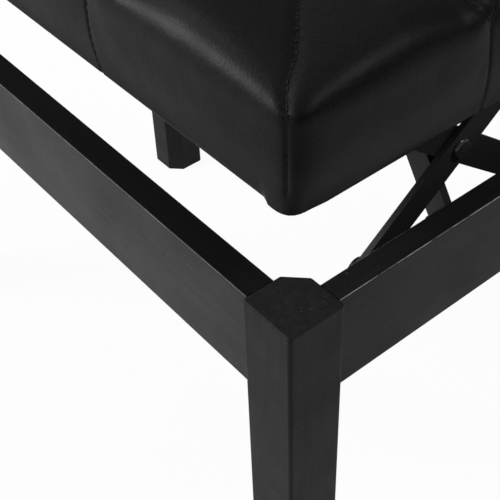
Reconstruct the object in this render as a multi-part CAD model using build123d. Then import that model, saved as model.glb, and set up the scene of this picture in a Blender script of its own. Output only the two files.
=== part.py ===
"""Piano stool: a wooden frame on four legs and a tufted seat on a screw-driven scissor lift.

X runs along the long side, Y from the front to the back, Z up from the floor.
The right half of every mirrored pair is modelled and the left half is its mirror image.
The stool is drawn with its seat wound up.
"""
import os
from math import asin, cos, degrees, pi, radians, sin, sqrt, tan

from build123d import *

# Wooden frame
FRAME_LENGTH = 610.0
FRAME_DEPTH = 347.0
FRAME_HEIGHT = 410.0
LEG_WIDTH = 40.0
LEG_CHAMFER = 12.4
LEG_ARRIS = 2.5
WOOD_ARRIS = 1.5
RAIL_HEIGHT = 74.0
LONG_RAIL_THICKNESS = 20.0
LONG_RAIL_SETBACK = 3.0
SHORT_RAIL_THICKNESS = 16.0
SHORT_RAIL_SETBACK = 4.5
GLIDE_RADIUS = 13.0
GLIDE_THICKNESS = 1.5
GLIDE_PIN_RADIUS = 2.0
GLIDE_PIN_LENGTH = 14.0
DOWEL_RADIUS = 4.0
DOWEL_LENGTH = 30.0
DOWEL_EDGE_DISTANCE = 18.0

# Corner plates and their fasteners
PLATE_THICKNESS = 2.0
PLATE_REACH = 38.0
PLATE_FLANGE = 16.0
PLATE_HEIGHT = 26.0
PLATE_TOP_DROP = 44.0
BOLT_RADIUS = 3.0
BOLT_DEPTH_IN_LEG = 22.0
BOLT_TAIL = 5.0
NUT_ACROSS_FLATS = 10.0
NUT_THICKNESS = 5.0
WASHER_RADIUS = 7.0
WASHER_THICKNESS = 1.2

# Wood screws
SCREW_SHANK_RADIUS = 1.9
SCREW_HEAD_RADIUS = 3.8
SCREW_HEAD_HEIGHT = 2.2
FRAME_SCREW_LENGTH = 14.0
DECK_SCREW_LENGTH = 22.0
STEEL_TO_DECK_SCREW_LENGTH = 10.0
DECK_SCREW_LONG_SHARES = (-0.75, 0, 0.75)
DECK_SCREW_SHORT_SHARES = (-0.5, 0.5)

# Steel angles under the seat and on the short rails
STEEL = 3.0
BASE_ANGLE_END_GAP = 2.5
BASE_ANGLE_WIDTH = 43.0
BASE_ANGLE_HEIGHT = 34.0
BASE_ANGLE_LIFT = 4.0
LUG_RADIUS = 9.5
PIVOT_LUG_RADIUS = 7.0
UPPER_ANGLE_FRONT = 94.0
UPPER_ANGLE_BACK = 114.0
UPPER_ANGLE_FLANGE = 33.0
UPPER_ANGLE_HEIGHT = 28.0
UPPER_SCREW_INSET = 18.0

# Scissor arms
ARM_LENGTH = 191.4
ARM_WIDTH = 21.5
ARM_THICKNESS = 4.0
OUTER_ARM_INSET = 41.8
ARM_GAP = 0.5
PIN_RADIUS = 4.0
PIN_HEAD_RADIUS = 7.0
PIN_HEAD_HEIGHT = 1.5
RIVET_HEAD_HEIGHT = 2.5
RIVET_HEAD_ROUND = 2.0
LOWER_PIVOT_DROP = 46.0
UPPER_PIVOT_RISE = 22.0

# Lead screw, nuts and struts
LEAD_SCREW_RADIUS = 6.0
LEAD_SCREW_RISE = 20.0
LEAD_SCREW_TAIL = 3.0
BUSH_WALL = 2.5
BUSH_PROUD = 1.0
COLLAR_RADIUS = 10.0
COLLAR_LENGTH = 7.0
DRIVE_NUT_LENGTH = 22.0
DRIVE_NUT_HEIGHT = 16.0
DRIVE_NUT_PIN_DROP = 22.0
DRIVE_NUT_EAR_RADIUS = 8.0
STRUT_LENGTH = 114.5
STRUT_WIDTH = 20.0
STRUT_THICKNESS = 6.0
STRUT_FOOT_INSET = 47.8
STRUT_FOOT_DROP = 50.0
STRUT_PIN_RADIUS = 4.0
STRUT_SLOT_PLAY = 5.0
STRUT_SLOT_SIDE_PLAY = 1.0
EAR_THICKNESS = 5.0
HANGER_WIDTH = 30.0
HANGER_FOOT = 26.0

# Knob
KNOB_RADIUS = 19.0
KNOB_LENGTH = 19.0
KNOB_LOBES = 12
KNOB_LOBE_RADIUS = 3.4
KNOB_ROUND = 2.0
KNOB_SOCKET_DEPTH = 14.0
GRUB_RADIUS = 2.0

# Seat
SEAT_LIFT = 48.0
SEAT_LOWEST_GAP = 1.5
SEAT_INSET = 27.5
SEAT_CORNER_RADIUS = 11.0
SEAT_CROWN_HEIGHT = 78.0
SEAT_CROWN_DROP = 7.0
SEAT_BULGE_HEIGHT = 24.0
SEAT_SIDE_BULGE = 2.0
SEAT_TUCK_HEIGHT = 60.0
SEAT_TUCK_RUN = 2.0
SEAT_TURN_HEIGHT = 71.0
SEAT_TURN_RUN = 12.0
SEAT_TURN_CORNER = 18.0
SEAT_TOP_RUN = 34.0
SEAT_TOP_CORNER = 35.0
COVER_THICKNESS = 1.6
COVER_LIP = 12.0
WADDING = 1.5
FOAM_THICKNESS = 14.0
APRON_THICKNESS = 8.6
APRON_HEIGHT = 34.4
DECK_THICKNESS = 9.0
TUFTS_LONG = 3
TUFT_ROW_SHARES = (-1, -0.425, 0, 0.425, 1)
CHANNEL_RADIUS = 7.0
CHANNEL_DEPTH = 3.0
CHANNEL_END_GAP = 15.0
TUFT_DEPTH = 9.0
TUFT_RUN = 24.0
BUTTON_RADIUS = 10.0
BUTTON_THICKNESS = 6.0
BUTTON_ROUND = 2.5

# Clearances
FIT = 0.05
RUN = 0.3
LOOSE = 1.5

# Places worked out from the sizes above
LEG_X = FRAME_LENGTH / 2 - LEG_WIDTH
LEG_Y = FRAME_DEPTH / 2 - LEG_WIDTH
RAIL_OUT_X = FRAME_LENGTH / 2 - SHORT_RAIL_SETBACK
RAIL_OUT_Y = FRAME_DEPTH / 2 - LONG_RAIL_SETBACK
RAIL_IN_X = RAIL_OUT_X - SHORT_RAIL_THICKNESS
RAIL_IN_Y = RAIL_OUT_Y - LONG_RAIL_THICKNESS
RAIL_BOTTOM = FRAME_HEIGHT - RAIL_HEIGHT
BASE_ANGLE_HALF = RAIL_IN_Y - PLATE_REACH - PLATE_FLANGE - BASE_ANGLE_END_GAP
PLATE_TOP = FRAME_HEIGHT - PLATE_TOP_DROP
PLATE_MIDDLE = PLATE_TOP - PLATE_HEIGHT / 2
DOWEL_HEIGHTS = (FRAME_HEIGHT - DOWEL_EDGE_DISTANCE, RAIL_BOTTOM + DOWEL_EDGE_DISTANCE)

SEAT_BOTTOM = FRAME_HEIGHT + SEAT_LIFT
SEAT_DROP = SEAT_LIFT - SEAT_LOWEST_GAP
SEAT_X = FRAME_LENGTH / 2 - SEAT_INSET
SEAT_Y = FRAME_DEPTH / 2 - SEAT_INSET
APRON_X = SEAT_X - COVER_THICKNESS - WADDING
APRON_Y = SEAT_Y - COVER_THICKNESS - WADDING
APRON_BOTTOM = SEAT_BOTTOM + COVER_THICKNESS
DECK_BOTTOM = APRON_BOTTOM + APRON_HEIGHT
DECK_TOP = DECK_BOTTOM + DECK_THICKNESS
FOAM_TOP = DECK_TOP + FOAM_THICKNESS
CORE_CORNER_RADIUS = SEAT_CORNER_RADIUS - COVER_THICKNESS - WADDING
CROWN_X_RADIUS = SEAT_X ** 2 / (2 * SEAT_CROWN_DROP)
CROWN_Y_RADIUS = SEAT_Y ** 2 / (2 * SEAT_CROWN_DROP)

OUTER_ARM_OUT = FRAME_LENGTH / 2 - OUTER_ARM_INSET
OUTER_ARM_IN = OUTER_ARM_OUT - ARM_THICKNESS
INNER_ARM_OUT = OUTER_ARM_IN - ARM_GAP
INNER_ARM_IN = INNER_ARM_OUT - ARM_THICKNESS
SLOT_PLATE_OUT = INNER_ARM_IN - RUN
SLOT_PLATE_IN = SLOT_PLATE_OUT - STEEL
LOWER_PIVOT_Z = FRAME_HEIGHT - LOWER_PIVOT_DROP
UPPER_PIVOT_Z = SEAT_BOTTOM + UPPER_PIVOT_RISE
ARM_RISE = UPPER_PIVOT_Z - LOWER_PIVOT_Z
ARM_ANGLE = asin(ARM_RISE / ARM_LENGTH)
ARM_LOW_ANGLE = asin((ARM_RISE - SEAT_DROP) / ARM_LENGTH)
PIVOT_Y = ARM_LENGTH * cos(ARM_ANGLE) / 2
PIVOT_Z = (UPPER_PIVOT_Z + LOWER_PIVOT_Z) / 2
SLIDE_TRAVEL = ARM_LENGTH * (cos(ARM_LOW_ANGLE) - cos(ARM_ANGLE))

SCREW_Z = SEAT_BOTTOM + LEAD_SCREW_RISE
STRUT_FOOT_X = FRAME_LENGTH / 2 - STRUT_FOOT_INSET
STRUT_FOOT_Z = FRAME_HEIGHT - STRUT_FOOT_DROP
STRUT_HEAD_Z = SCREW_Z - DRIVE_NUT_PIN_DROP
STRUT_RISE = STRUT_HEAD_Z - STRUT_FOOT_Z
STRUT_ANGLE = asin(STRUT_RISE / STRUT_LENGTH)
STRUT_LOW_ANGLE = asin((STRUT_RISE - SEAT_DROP) / STRUT_LENGTH)
NUT_X = STRUT_FOOT_X - STRUT_LENGTH * cos(STRUT_ANGLE)
NUT_TRAVEL = STRUT_LENGTH * (cos(STRUT_LOW_ANGLE) - cos(STRUT_ANGLE))
EAR_INNER_Y = STRUT_THICKNESS / 2 + RUN
EAR_OUTER_Y = EAR_INNER_Y + EAR_THICKNESS
KNOB_IN = -(SEAT_X + SEAT_SIDE_BULGE + LOOSE)
GRUB_X = KNOB_IN - KNOB_SOCKET_DEPTH / 2
SCREW_HOLE_RADIUS = LEAD_SCREW_RADIUS + LOOSE
BASE_TOP = RAIL_BOTTOM + BASE_ANGLE_LIFT + STEEL

LEFT = Plane.YZ
FRONT = Plane.XZ
UP = (Align.CENTER, Align.CENTER, Align.MIN)


def block(x, y, z):
    """Box between two limits on each axis."""
    limits = (x, y, z)
    size = [high - low for low, high in limits]
    middle = [(high + low) / 2 for low, high in limits]
    return Pos(*middle) * Box(*size)


def rod(start, end, radius):
    """Round bar from one point to another."""
    run = Vector(*end) - Vector(*start)
    return Plane(origin=start, z_dir=run) * Cylinder(radius, run.length, align=UP)


def rod_x(x, y, z, radius):
    """Round bar along X between two limits."""
    return rod((x[0], y, z), (x[1], y, z), radius)


def rod_y(x, y, z, radius):
    """Round bar along Y between two limits."""
    return rod((x, y[0], z), (x, y[1], z), radius)


def rod_z(x, y, z, radius):
    """Round bar along Z between two limits."""
    return rod((x, y, z[0]), (x, y, z[1]), radius)


def ring_x(x, y, z, outer, inner):
    """Ring along X."""
    return rod_x(x, y, z, outer) - rod_x(x, y, z, inner)


def group(solids):
    """Separate solids kept together under one name."""
    return Compound(children=[solid for part in solids for solid in part.solids()])


def both_ends(part):
    """The part and its mirror image at the left end."""
    return [part, mirror(part, about=LEFT)]


def four_corners(part):
    """The part and its mirror images at the other three corners."""
    pair = both_ends(part)
    return pair + [mirror(each, about=FRONT) for each in pair]


def wood_screw(point, outward, length):
    """Pan-head screw whose head stands on a face at the point."""
    head = Cylinder(SCREW_HEAD_RADIUS, SCREW_HEAD_HEIGHT, align=UP)
    head = fillet(head.edges().group_by(Axis.Z)[-1], SCREW_HEAD_HEIGHT / 2)
    shank = Pos(0, 0, -length) * Cylinder(SCREW_SHANK_RADIUS, length, align=UP)
    return Plane(origin=point, z_dir=outward) * (head + shank)


def screw_hole(point, outward, length):
    """Pilot hole for a screw, through everything under its head."""
    depth = length + RUN
    hole = Pos(0, 0, -depth) * Cylinder(SCREW_SHANK_RADIUS + FIT, depth, align=UP)
    return Plane(origin=point, z_dir=outward) * hole


def steel_screw_hole(point):
    """Pilot hole for a screw driven up through steel into the deck."""
    return screw_hole(point, (0, 0, -1), STEEL_TO_DECK_SCREW_LENGTH)


def steel_screw(point):
    """Screw driven up through steel into the deck."""
    return wood_screw(point, (0, 0, -1), STEEL_TO_DECK_SCREW_LENGTH)


def headed_pin(x, y, z, radius, head_radius, head_height):
    """Pin along X with a flat head at each end, the shank between the two limits."""
    pin = rod_x(x, y, z, radius)
    pin += rod_x((x[0] - head_height, x[0]), y, z, head_radius)
    pin += rod_x((x[1], x[1] + head_height), y, z, head_radius)
    return pin


# Fastener places shared by the pieces they hold
def dowel_ends():
    """Dowels between the back right leg and the two rails that meet it."""
    reach = DOWEL_LENGTH / 2
    dowels = []
    for height in DOWEL_HEIGHTS:
        middle_y = (RAIL_IN_Y + RAIL_OUT_Y) / 2
        middle_x = (RAIL_IN_X + RAIL_OUT_X) / 2
        dowels.append(("x", (LEG_X - reach, LEG_X + reach), middle_y, height))
        dowels.append(("y", middle_x, (LEG_Y - reach, LEG_Y + reach), height))
    return dowels


def dowel_bars(radius, spare):
    """Bars at the dowels' places, longer than the dowels by a spare length at each end."""
    bars = []
    for way, x, y, z in dowel_ends():
        if way == "x":
            bars.append(rod_x((x[0] - spare, x[1] + spare), y, z, radius))
        else:
            bars.append(rod_y(x, (y[0] - spare, y[1] + spare), z, radius))
    return bars


def plate_screw_points():
    """Screw places of the back right corner plate, on the short rail and on the long rail."""
    along = PLATE_REACH + PLATE_FLANGE / 2
    heights = (PLATE_MIDDLE - PLATE_HEIGHT / 4, PLATE_MIDDLE + PLATE_HEIGHT / 4)
    on_short = [(RAIL_IN_X - PLATE_THICKNESS, RAIL_IN_Y - along, z) for z in heights]
    on_long = [(RAIL_IN_X - along, RAIL_IN_Y - PLATE_THICKNESS, z) for z in heights]
    return on_short, on_long


def base_screw_points():
    """Screw places of the right base angle on the short rail."""
    height = BASE_TOP + BASE_ANGLE_HEIGHT / 2
    spread = BASE_ANGLE_HALF - LUG_RADIUS
    return [(RAIL_IN_X - STEEL, y, height) for y in (-spread, -spread / 3, spread / 3, spread)]


def upper_screw_points():
    """Screw places of the right upper angle under the deck."""
    x = SLOT_PLATE_IN - UPPER_SCREW_INSET
    ends = (-UPPER_ANGLE_FRONT + LUG_RADIUS, UPPER_ANGLE_BACK - LUG_RADIUS)
    return [(x, y, DECK_BOTTOM - STEEL) for y in (ends[0], ends[0] / 2, ends[1] / 2, ends[1])]


def hanger_screw_points():
    """Screw places of the centre hanger under the deck."""
    x = STEEL / 2 + HANGER_FOOT / 2
    return [(x, y, DECK_BOTTOM - STEEL) for y in (-HANGER_WIDTH / 4, HANGER_WIDTH / 4)]


def deck_screw_points():
    """Screw places on the deck over the apron boards."""
    x = APRON_X - APRON_THICKNESS / 2
    y = APRON_Y - APRON_THICKNESS / 2
    points = []
    for side in (-1, 1):
        points += [(APRON_X * share, side * y, DECK_TOP) for share in DECK_SCREW_LONG_SHARES]
        points += [(side * x, APRON_Y * share, DECK_TOP) for share in DECK_SCREW_SHORT_SHARES]
    return points


def bolt_bar(radius, start, end):
    """Diagonal bar into the back right leg's chamfer, its ends measured from the chamfer's face."""
    face_x = LEG_X + LEG_CHAMFER / 2
    face_y = LEG_Y + LEG_CHAMFER / 2
    ends = [(face_x + run / sqrt(2), face_y + run / sqrt(2), PLATE_MIDDLE) for run in (start, end)]
    return rod(ends[0], ends[1], radius)


def plate_face_run():
    """Distance from the leg's chamfer to the inner face of the corner plate's web, along the bolt."""
    chamfer_sum = LEG_X + LEG_Y + LEG_CHAMFER
    web_sum = RAIL_IN_X + RAIL_IN_Y - PLATE_REACH
    return (web_sum - chamfer_sum) / sqrt(2) - PLATE_THICKNESS


# Wooden frame
def make_leg():
    """Back right leg with its chamfered inner corner, dowel holes, bolt hole and glide hole."""
    out_x = FRAME_LENGTH / 2
    out_y = FRAME_DEPTH / 2
    outline = Polyline(
        (LEG_X + LEG_CHAMFER, LEG_Y), (out_x, LEG_Y), (out_x, out_y), (LEG_X, out_y),
        (LEG_X, LEG_Y + LEG_CHAMFER), close=True)
    section = make_face(outline)
    section = fillet(section.vertices(), LEG_ARRIS)
    leg = Pos(0, 0, GLIDE_THICKNESS) * extrude(section, FRAME_HEIGHT - GLIDE_THICKNESS)
    leg = fillet(leg.edges().group_by(Axis.Z)[-1], WOOD_ARRIS)
    leg -= dowel_bars(DOWEL_RADIUS + FIT, RUN)
    leg -= bolt_bar(BOLT_RADIUS + FIT, -LOOSE, BOLT_DEPTH_IN_LEG + RUN)
    pin_top = GLIDE_THICKNESS + GLIDE_PIN_LENGTH + RUN
    leg -= rod_z(out_x - LEG_WIDTH / 2, out_y - LEG_WIDTH / 2, (0, pin_top), GLIDE_PIN_RADIUS + FIT)
    return leg


def make_glide():
    """Nail-on glide under the back right leg."""
    x = FRAME_LENGTH / 2 - LEG_WIDTH / 2
    y = FRAME_DEPTH / 2 - LEG_WIDTH / 2
    disc = rod_z(x, y, (0, GLIDE_THICKNESS), GLIDE_RADIUS)
    disc = fillet(disc.edges().group_by(Axis.Z)[0], GLIDE_THICKNESS / 3)
    return disc + rod_z(x, y, (GLIDE_THICKNESS, GLIDE_THICKNESS + GLIDE_PIN_LENGTH), GLIDE_PIN_RADIUS)


def make_right_rail():
    """Short rail at the right end."""
    rail = block((RAIL_IN_X, RAIL_OUT_X), (-LEG_Y, LEG_Y), (RAIL_BOTTOM, FRAME_HEIGHT))
    rail = fillet(rail.edges().filter_by(Axis.Y), WOOD_ARRIS)
    on_short = plate_screw_points()[0]
    corner = dowel_bars(DOWEL_RADIUS + FIT, RUN)
    corner += [screw_hole(point, (-1, 0, 0), FRAME_SCREW_LENGTH) for point in on_short]
    for hole in corner:
        rail -= [hole, mirror(hole, about=FRONT)]
    rail -= [screw_hole(point, (-1, 0, 0), FRAME_SCREW_LENGTH) for point in base_screw_points()]
    return rail


def make_back_rail():
    """Long rail at the back."""
    rail = block((-LEG_X, LEG_X), (RAIL_IN_Y, RAIL_OUT_Y), (RAIL_BOTTOM, FRAME_HEIGHT))
    rail = fillet(rail.edges().filter_by(Axis.X), WOOD_ARRIS)
    on_long = plate_screw_points()[1]
    corner = dowel_bars(DOWEL_RADIUS + FIT, RUN)
    corner += [screw_hole(point, (0, -1, 0), FRAME_SCREW_LENGTH) for point in on_long]
    for hole in corner:
        rail -= both_ends(hole)
    return rail


def make_corner_plate():
    """Bent steel plate across the back right corner, with holes for its bolt and screws."""
    bend = PLATE_THICKNESS * tan(radians(22.5))
    near_x = RAIL_IN_X - PLATE_REACH
    near_y = RAIL_IN_Y - PLATE_REACH
    thin_x = RAIL_IN_X - PLATE_THICKNESS
    thin_y = RAIL_IN_Y - PLATE_THICKNESS
    outline = Polyline(
        (RAIL_IN_X, near_y - PLATE_FLANGE), (RAIL_IN_X, near_y), (near_x, RAIL_IN_Y),
        (near_x - PLATE_FLANGE, RAIL_IN_Y), (near_x - PLATE_FLANGE, thin_y), (near_x - bend, thin_y),
        (thin_x, near_y - bend), (thin_x, near_y - PLATE_FLANGE), close=True)
    plate = Pos(0, 0, PLATE_TOP - PLATE_HEIGHT) * extrude(make_face(outline), PLATE_HEIGHT)
    on_short, on_long = plate_screw_points()
    plate -= [screw_hole(point, (-1, 0, 0), FRAME_SCREW_LENGTH) for point in on_short]
    plate -= [screw_hole(point, (0, -1, 0), FRAME_SCREW_LENGTH) for point in on_long]
    plate -= bolt_bar(BOLT_RADIUS + FIT, plate_face_run() - LOOSE, 0)
    return plate


def make_plate_screws():
    """Screws that hold the back right corner plate to its two rails."""
    on_short, on_long = plate_screw_points()
    screws = [wood_screw(point, (-1, 0, 0), FRAME_SCREW_LENGTH) for point in on_short]
    screws += [wood_screw(point, (0, -1, 0), FRAME_SCREW_LENGTH) for point in on_long]
    return screws


def make_hanger_bolt():
    """Hanger bolt from the back right leg through the corner plate."""
    tail = plate_face_run() - WASHER_THICKNESS - NUT_THICKNESS - BOLT_TAIL
    return bolt_bar(BOLT_RADIUS, tail, BOLT_DEPTH_IN_LEG)


def make_corner_nut():
    """Hex nut on the hanger bolt."""
    seat = plate_face_run() - WASHER_THICKNESS
    hexagon = RegularPolygon(NUT_ACROSS_FLATS / 2, 6, major_radius=False)
    nut = extrude(hexagon - Circle(BOLT_RADIUS + FIT), NUT_THICKNESS)
    return along_bolt(nut, seat - NUT_THICKNESS)


def make_corner_washer():
    """Washer under the hex nut."""
    ring = extrude(Circle(WASHER_RADIUS) - Circle(BOLT_RADIUS + FIT), WASHER_THICKNESS)
    return along_bolt(ring, plate_face_run() - WASHER_THICKNESS)


def along_bolt(part, run):
    """Set a part drawn on Z along the bolt, starting at a distance from the leg's chamfer."""
    x = LEG_X + LEG_CHAMFER / 2 + run / sqrt(2)
    y = LEG_Y + LEG_CHAMFER / 2 + run / sqrt(2)
    return Plane(origin=(x, y, PLATE_MIDDLE), z_dir=(1, 1, 0)) * part


# Steel of the scissor lift
def lug(x, y, pivot_z, foot_z, radius):
    """Upright lug with a round top between two limits along X."""
    plate = block(x, (y - radius, y + radius), (foot_z, pivot_z))
    return plate + rod_x(x, y, pivot_z, radius)


def slot_x(x, y, z, radius):
    """Slot cutter along Y, open through X, between two pin places."""
    cutter = block(x, y, (z - radius, z + radius))
    return cutter + rod_x(x, y[0], z, radius) + rod_x(x, y[1], z, radius)


def make_base_angle():
    """Angle on the right short rail, with the lug, slotted lug and ears that carry the lift."""
    half = BASE_ANGLE_HALF
    flange_x = (RAIL_IN_X - BASE_ANGLE_WIDTH, RAIL_IN_X)
    angle = block(flange_x, (-half, half), (BASE_TOP - STEEL, BASE_TOP))
    upright_z = (BASE_TOP, BASE_TOP + BASE_ANGLE_HEIGHT - STEEL)
    angle += block((RAIL_IN_X - STEEL, RAIL_IN_X), (-half, half), upright_z)
    fixed_x = (OUTER_ARM_IN - RUN - STEEL, OUTER_ARM_IN - RUN)
    angle += lug(fixed_x, -PIVOT_Y, LOWER_PIVOT_Z, BASE_TOP, PIVOT_LUG_RADIUS)
    angle -= rod_x(fixed_x, -PIVOT_Y, LOWER_PIVOT_Z, PIN_RADIUS + FIT)
    slot_plate_x = (SLOT_PLATE_IN, SLOT_PLATE_OUT)
    slot_y = (PIVOT_Y, PIVOT_Y + SLIDE_TRAVEL)
    plate_y = (slot_y[0] - LUG_RADIUS, slot_y[1] + LUG_RADIUS)
    angle += block(slot_plate_x, plate_y, (BASE_TOP, LOWER_PIVOT_Z + LUG_RADIUS))
    tongue_x = (flange_x[0], SLOT_PLATE_OUT + STEEL)
    angle += block(tongue_x, (0, plate_y[1]), (BASE_TOP - STEEL, BASE_TOP))
    angle -= slot_x(slot_plate_x, slot_y, LOWER_PIVOT_Z, PIN_RADIUS + RUN)
    for side in (-1, 1):
        ear_y = sorted((side * EAR_INNER_Y, side * EAR_OUTER_Y))
        ear_x = (STRUT_FOOT_X - PIVOT_LUG_RADIUS, STRUT_FOOT_X + PIVOT_LUG_RADIUS)
        angle += block(ear_x, ear_y, (BASE_TOP, STRUT_FOOT_Z))
        angle += rod_y(STRUT_FOOT_X, ear_y, STRUT_FOOT_Z, PIVOT_LUG_RADIUS)
    angle -= rod_y(STRUT_FOOT_X, (-EAR_OUTER_Y, EAR_OUTER_Y), STRUT_FOOT_Z, STRUT_PIN_RADIUS + FIT)
    angle -= [screw_hole(point, (-1, 0, 0), FRAME_SCREW_LENGTH) for point in base_screw_points()]
    return angle


def make_lower_pivot_pin():
    """Pin that the outer arm turns on, fixed in the base angle's lug."""
    shank = (OUTER_ARM_IN - RUN - STEEL, OUTER_ARM_OUT + RUN)
    return headed_pin(shank, -PIVOT_Y, LOWER_PIVOT_Z, PIN_RADIUS, PIN_HEAD_RADIUS, PIN_HEAD_HEIGHT)


def make_strut_pin(x, z, eyes, ends):
    """Pin along Y through two ears, with a flat head at each end."""
    pin = rod_y(x, (-eyes, eyes), z, STRUT_PIN_RADIUS)
    for side in (-1, 1):
        head_y = sorted((side * eyes, side * ends))
        pin += rod_y(x, head_y, z, PIN_HEAD_RADIUS)
    return pin


def arm(x, lean):
    """Flat arm with round ends and three holes, leaning up to the back (1) or to the front (-1)."""
    along = (0, lean * cos(ARM_ANGLE), sin(ARM_ANGLE))
    frame = Plane(origin=(x[0], 0, PIVOT_Z), x_dir=along, z_dir=(1, 0, 0))
    section = SlotCenterToCenter(ARM_LENGTH, ARM_WIDTH)
    for run in (-ARM_LENGTH / 2, 0, ARM_LENGTH / 2):
        section -= Pos(run, 0) * Circle(PIN_RADIUS + FIT)
    return frame * extrude(section, x[1] - x[0])


def make_centre_rivet():
    """Rivet on which the two arms cross, with round heads."""
    shank = (INNER_ARM_IN - RUN, OUTER_ARM_OUT)
    rivet = rod_x(shank, 0, PIVOT_Z, PIN_RADIUS)
    rivet += rod_x((shank[0] - PIN_HEAD_HEIGHT, shank[0]), 0, PIVOT_Z, PIN_HEAD_RADIUS)
    dome = Cylinder(PIN_HEAD_RADIUS, RIVET_HEAD_HEIGHT, align=UP)
    dome = fillet(dome.edges().group_by(Axis.Z)[-1], RIVET_HEAD_ROUND)
    return rivet + Plane(origin=(shank[1], 0, PIVOT_Z), z_dir=(1, 0, 0)) * dome


def make_lower_slide_pin():
    """Pin in the inner arm's foot that slides in the base angle's slot."""
    shank = (SLOT_PLATE_IN - RUN, INNER_ARM_OUT)
    return headed_pin(shank, PIVOT_Y, LOWER_PIVOT_Z, PIN_RADIUS, PIN_HEAD_RADIUS, PIN_HEAD_HEIGHT)


def make_upper_slide_pin():
    """Pin in the outer arm's head that slides in the upper angle's slot."""
    shank = (SLOT_PLATE_IN - RUN, OUTER_ARM_OUT)
    return headed_pin(shank, PIVOT_Y, UPPER_PIVOT_Z, PIN_RADIUS, PIN_HEAD_RADIUS, PIN_HEAD_HEIGHT)


def make_upper_spacer():
    """Sleeve on the upper slide pin between the outer arm and the slotted flange."""
    x = (SLOT_PLATE_OUT + RUN, OUTER_ARM_IN)
    return ring_x(x, PIVOT_Y, UPPER_PIVOT_Z, PIN_HEAD_RADIUS, PIN_RADIUS + FIT)


def make_upper_pivot_pin():
    """Pin that the seat hangs on at the inner arm's head, fixed in the upper angle."""
    shank = (SLOT_PLATE_IN, INNER_ARM_OUT + RUN)
    return headed_pin(shank, -PIVOT_Y, UPPER_PIVOT_Z, PIN_RADIUS, PIN_HEAD_RADIUS, PIN_HEAD_HEIGHT)


def make_upper_angle():
    """Angle under the deck at the right, with a pivot hole, a slot and a hole for the lead screw's bush."""
    y = (-UPPER_ANGLE_FRONT, UPPER_ANGLE_BACK)
    flange_x = (SLOT_PLATE_IN, SLOT_PLATE_OUT)
    angle = block(flange_x, y, (DECK_BOTTOM - UPPER_ANGLE_HEIGHT, DECK_BOTTOM))
    top_x = (SLOT_PLATE_OUT - UPPER_ANGLE_FLANGE, SLOT_PLATE_OUT)
    angle += block(top_x, y, (DECK_BOTTOM - STEEL, DECK_BOTTOM))
    angle -= rod_x(flange_x, -PIVOT_Y, UPPER_PIVOT_Z, PIN_RADIUS + FIT)
    angle -= slot_x(flange_x, (PIVOT_Y, PIVOT_Y + SLIDE_TRAVEL), UPPER_PIVOT_Z, PIN_RADIUS + RUN)
    angle -= rod_x(flange_x, 0, SCREW_Z, LEAD_SCREW_RADIUS + BUSH_WALL + FIT)
    for point in upper_screw_points():
        angle -= steel_screw_hole(point)
    return angle


# Lead screw and struts
def make_bush():
    """Bearing bush of the lead screw in the right upper angle."""
    x = (SLOT_PLATE_IN - BUSH_PROUD, SLOT_PLATE_OUT + BUSH_PROUD)
    return ring_x(x, 0, SCREW_Z, LEAD_SCREW_RADIUS + BUSH_WALL, LEAD_SCREW_RADIUS + FIT)


def make_collar():
    """Collar that keeps the lead screw in place at the right end."""
    start = SLOT_PLATE_OUT + BUSH_PROUD + RUN
    return ring_x((start, start + COLLAR_LENGTH), 0, SCREW_Z, COLLAR_RADIUS, LEAD_SCREW_RADIUS + FIT)


def make_lead_screw():
    """Lead screw from the knob at the left to the collar at the right."""
    right = SLOT_PLATE_OUT + BUSH_PROUD + RUN + COLLAR_LENGTH + LEAD_SCREW_TAIL
    return rod_x((KNOB_IN - KNOB_SOCKET_DEPTH, right), 0, SCREW_Z, LEAD_SCREW_RADIUS)


def make_knob():
    """Lobed hand knob on the lead screw's left end."""
    section = Circle(KNOB_RADIUS)
    for number in range(KNOB_LOBES):
        turn = 2 * pi * number / KNOB_LOBES
        reach = KNOB_RADIUS + KNOB_LOBE_RADIUS / 2
        section -= Pos(reach * cos(turn), reach * sin(turn)) * Circle(KNOB_LOBE_RADIUS)
    knob = extrude(section, KNOB_LENGTH)
    knob = chamfer(knob.edges().group_by(Axis.Z)[-1], KNOB_ROUND)
    knob -= Cylinder(LEAD_SCREW_RADIUS + FIT, KNOB_SOCKET_DEPTH + RUN, align=UP)
    knob = Plane(origin=(KNOB_IN, 0, SCREW_Z), z_dir=(-1, 0, 0)) * knob
    return knob - rod_z(GRUB_X, 0, (SCREW_Z, SCREW_Z + KNOB_RADIUS), GRUB_RADIUS + FIT)


def make_grub_screw():
    """Grub screw that clamps the knob on the lead screw."""
    z = (SCREW_Z + LEAD_SCREW_RADIUS + FIT, SCREW_Z + KNOB_RADIUS - KNOB_LOBE_RADIUS)
    return rod_z(GRUB_X, 0, z, GRUB_RADIUS)


def make_drive_nut():
    """Nut on the lead screw with two ears below for the strut's head."""
    x = (NUT_X - DRIVE_NUT_LENGTH / 2, NUT_X + DRIVE_NUT_LENGTH / 2)
    half_height = DRIVE_NUT_HEIGHT / 2
    nut = block(x, (-EAR_OUTER_Y, EAR_OUTER_Y), (SCREW_Z - half_height, SCREW_Z + half_height))
    nut = fillet(nut.edges().filter_by(Axis.X), KNOB_ROUND)
    for side in (-1, 1):
        ear_y = sorted((side * EAR_INNER_Y, side * EAR_OUTER_Y))
        ear_x = (NUT_X - DRIVE_NUT_EAR_RADIUS, NUT_X + DRIVE_NUT_EAR_RADIUS)
        nut += block(ear_x, ear_y, (STRUT_HEAD_Z, SCREW_Z - half_height / 2))
        nut += rod_y(NUT_X, ear_y, STRUT_HEAD_Z, DRIVE_NUT_EAR_RADIUS)
    nut -= rod_x(x, 0, SCREW_Z, LEAD_SCREW_RADIUS + FIT)
    return nut - rod_y(NUT_X, (-EAR_OUTER_Y, EAR_OUTER_Y), STRUT_HEAD_Z, STRUT_PIN_RADIUS + FIT)


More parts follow.
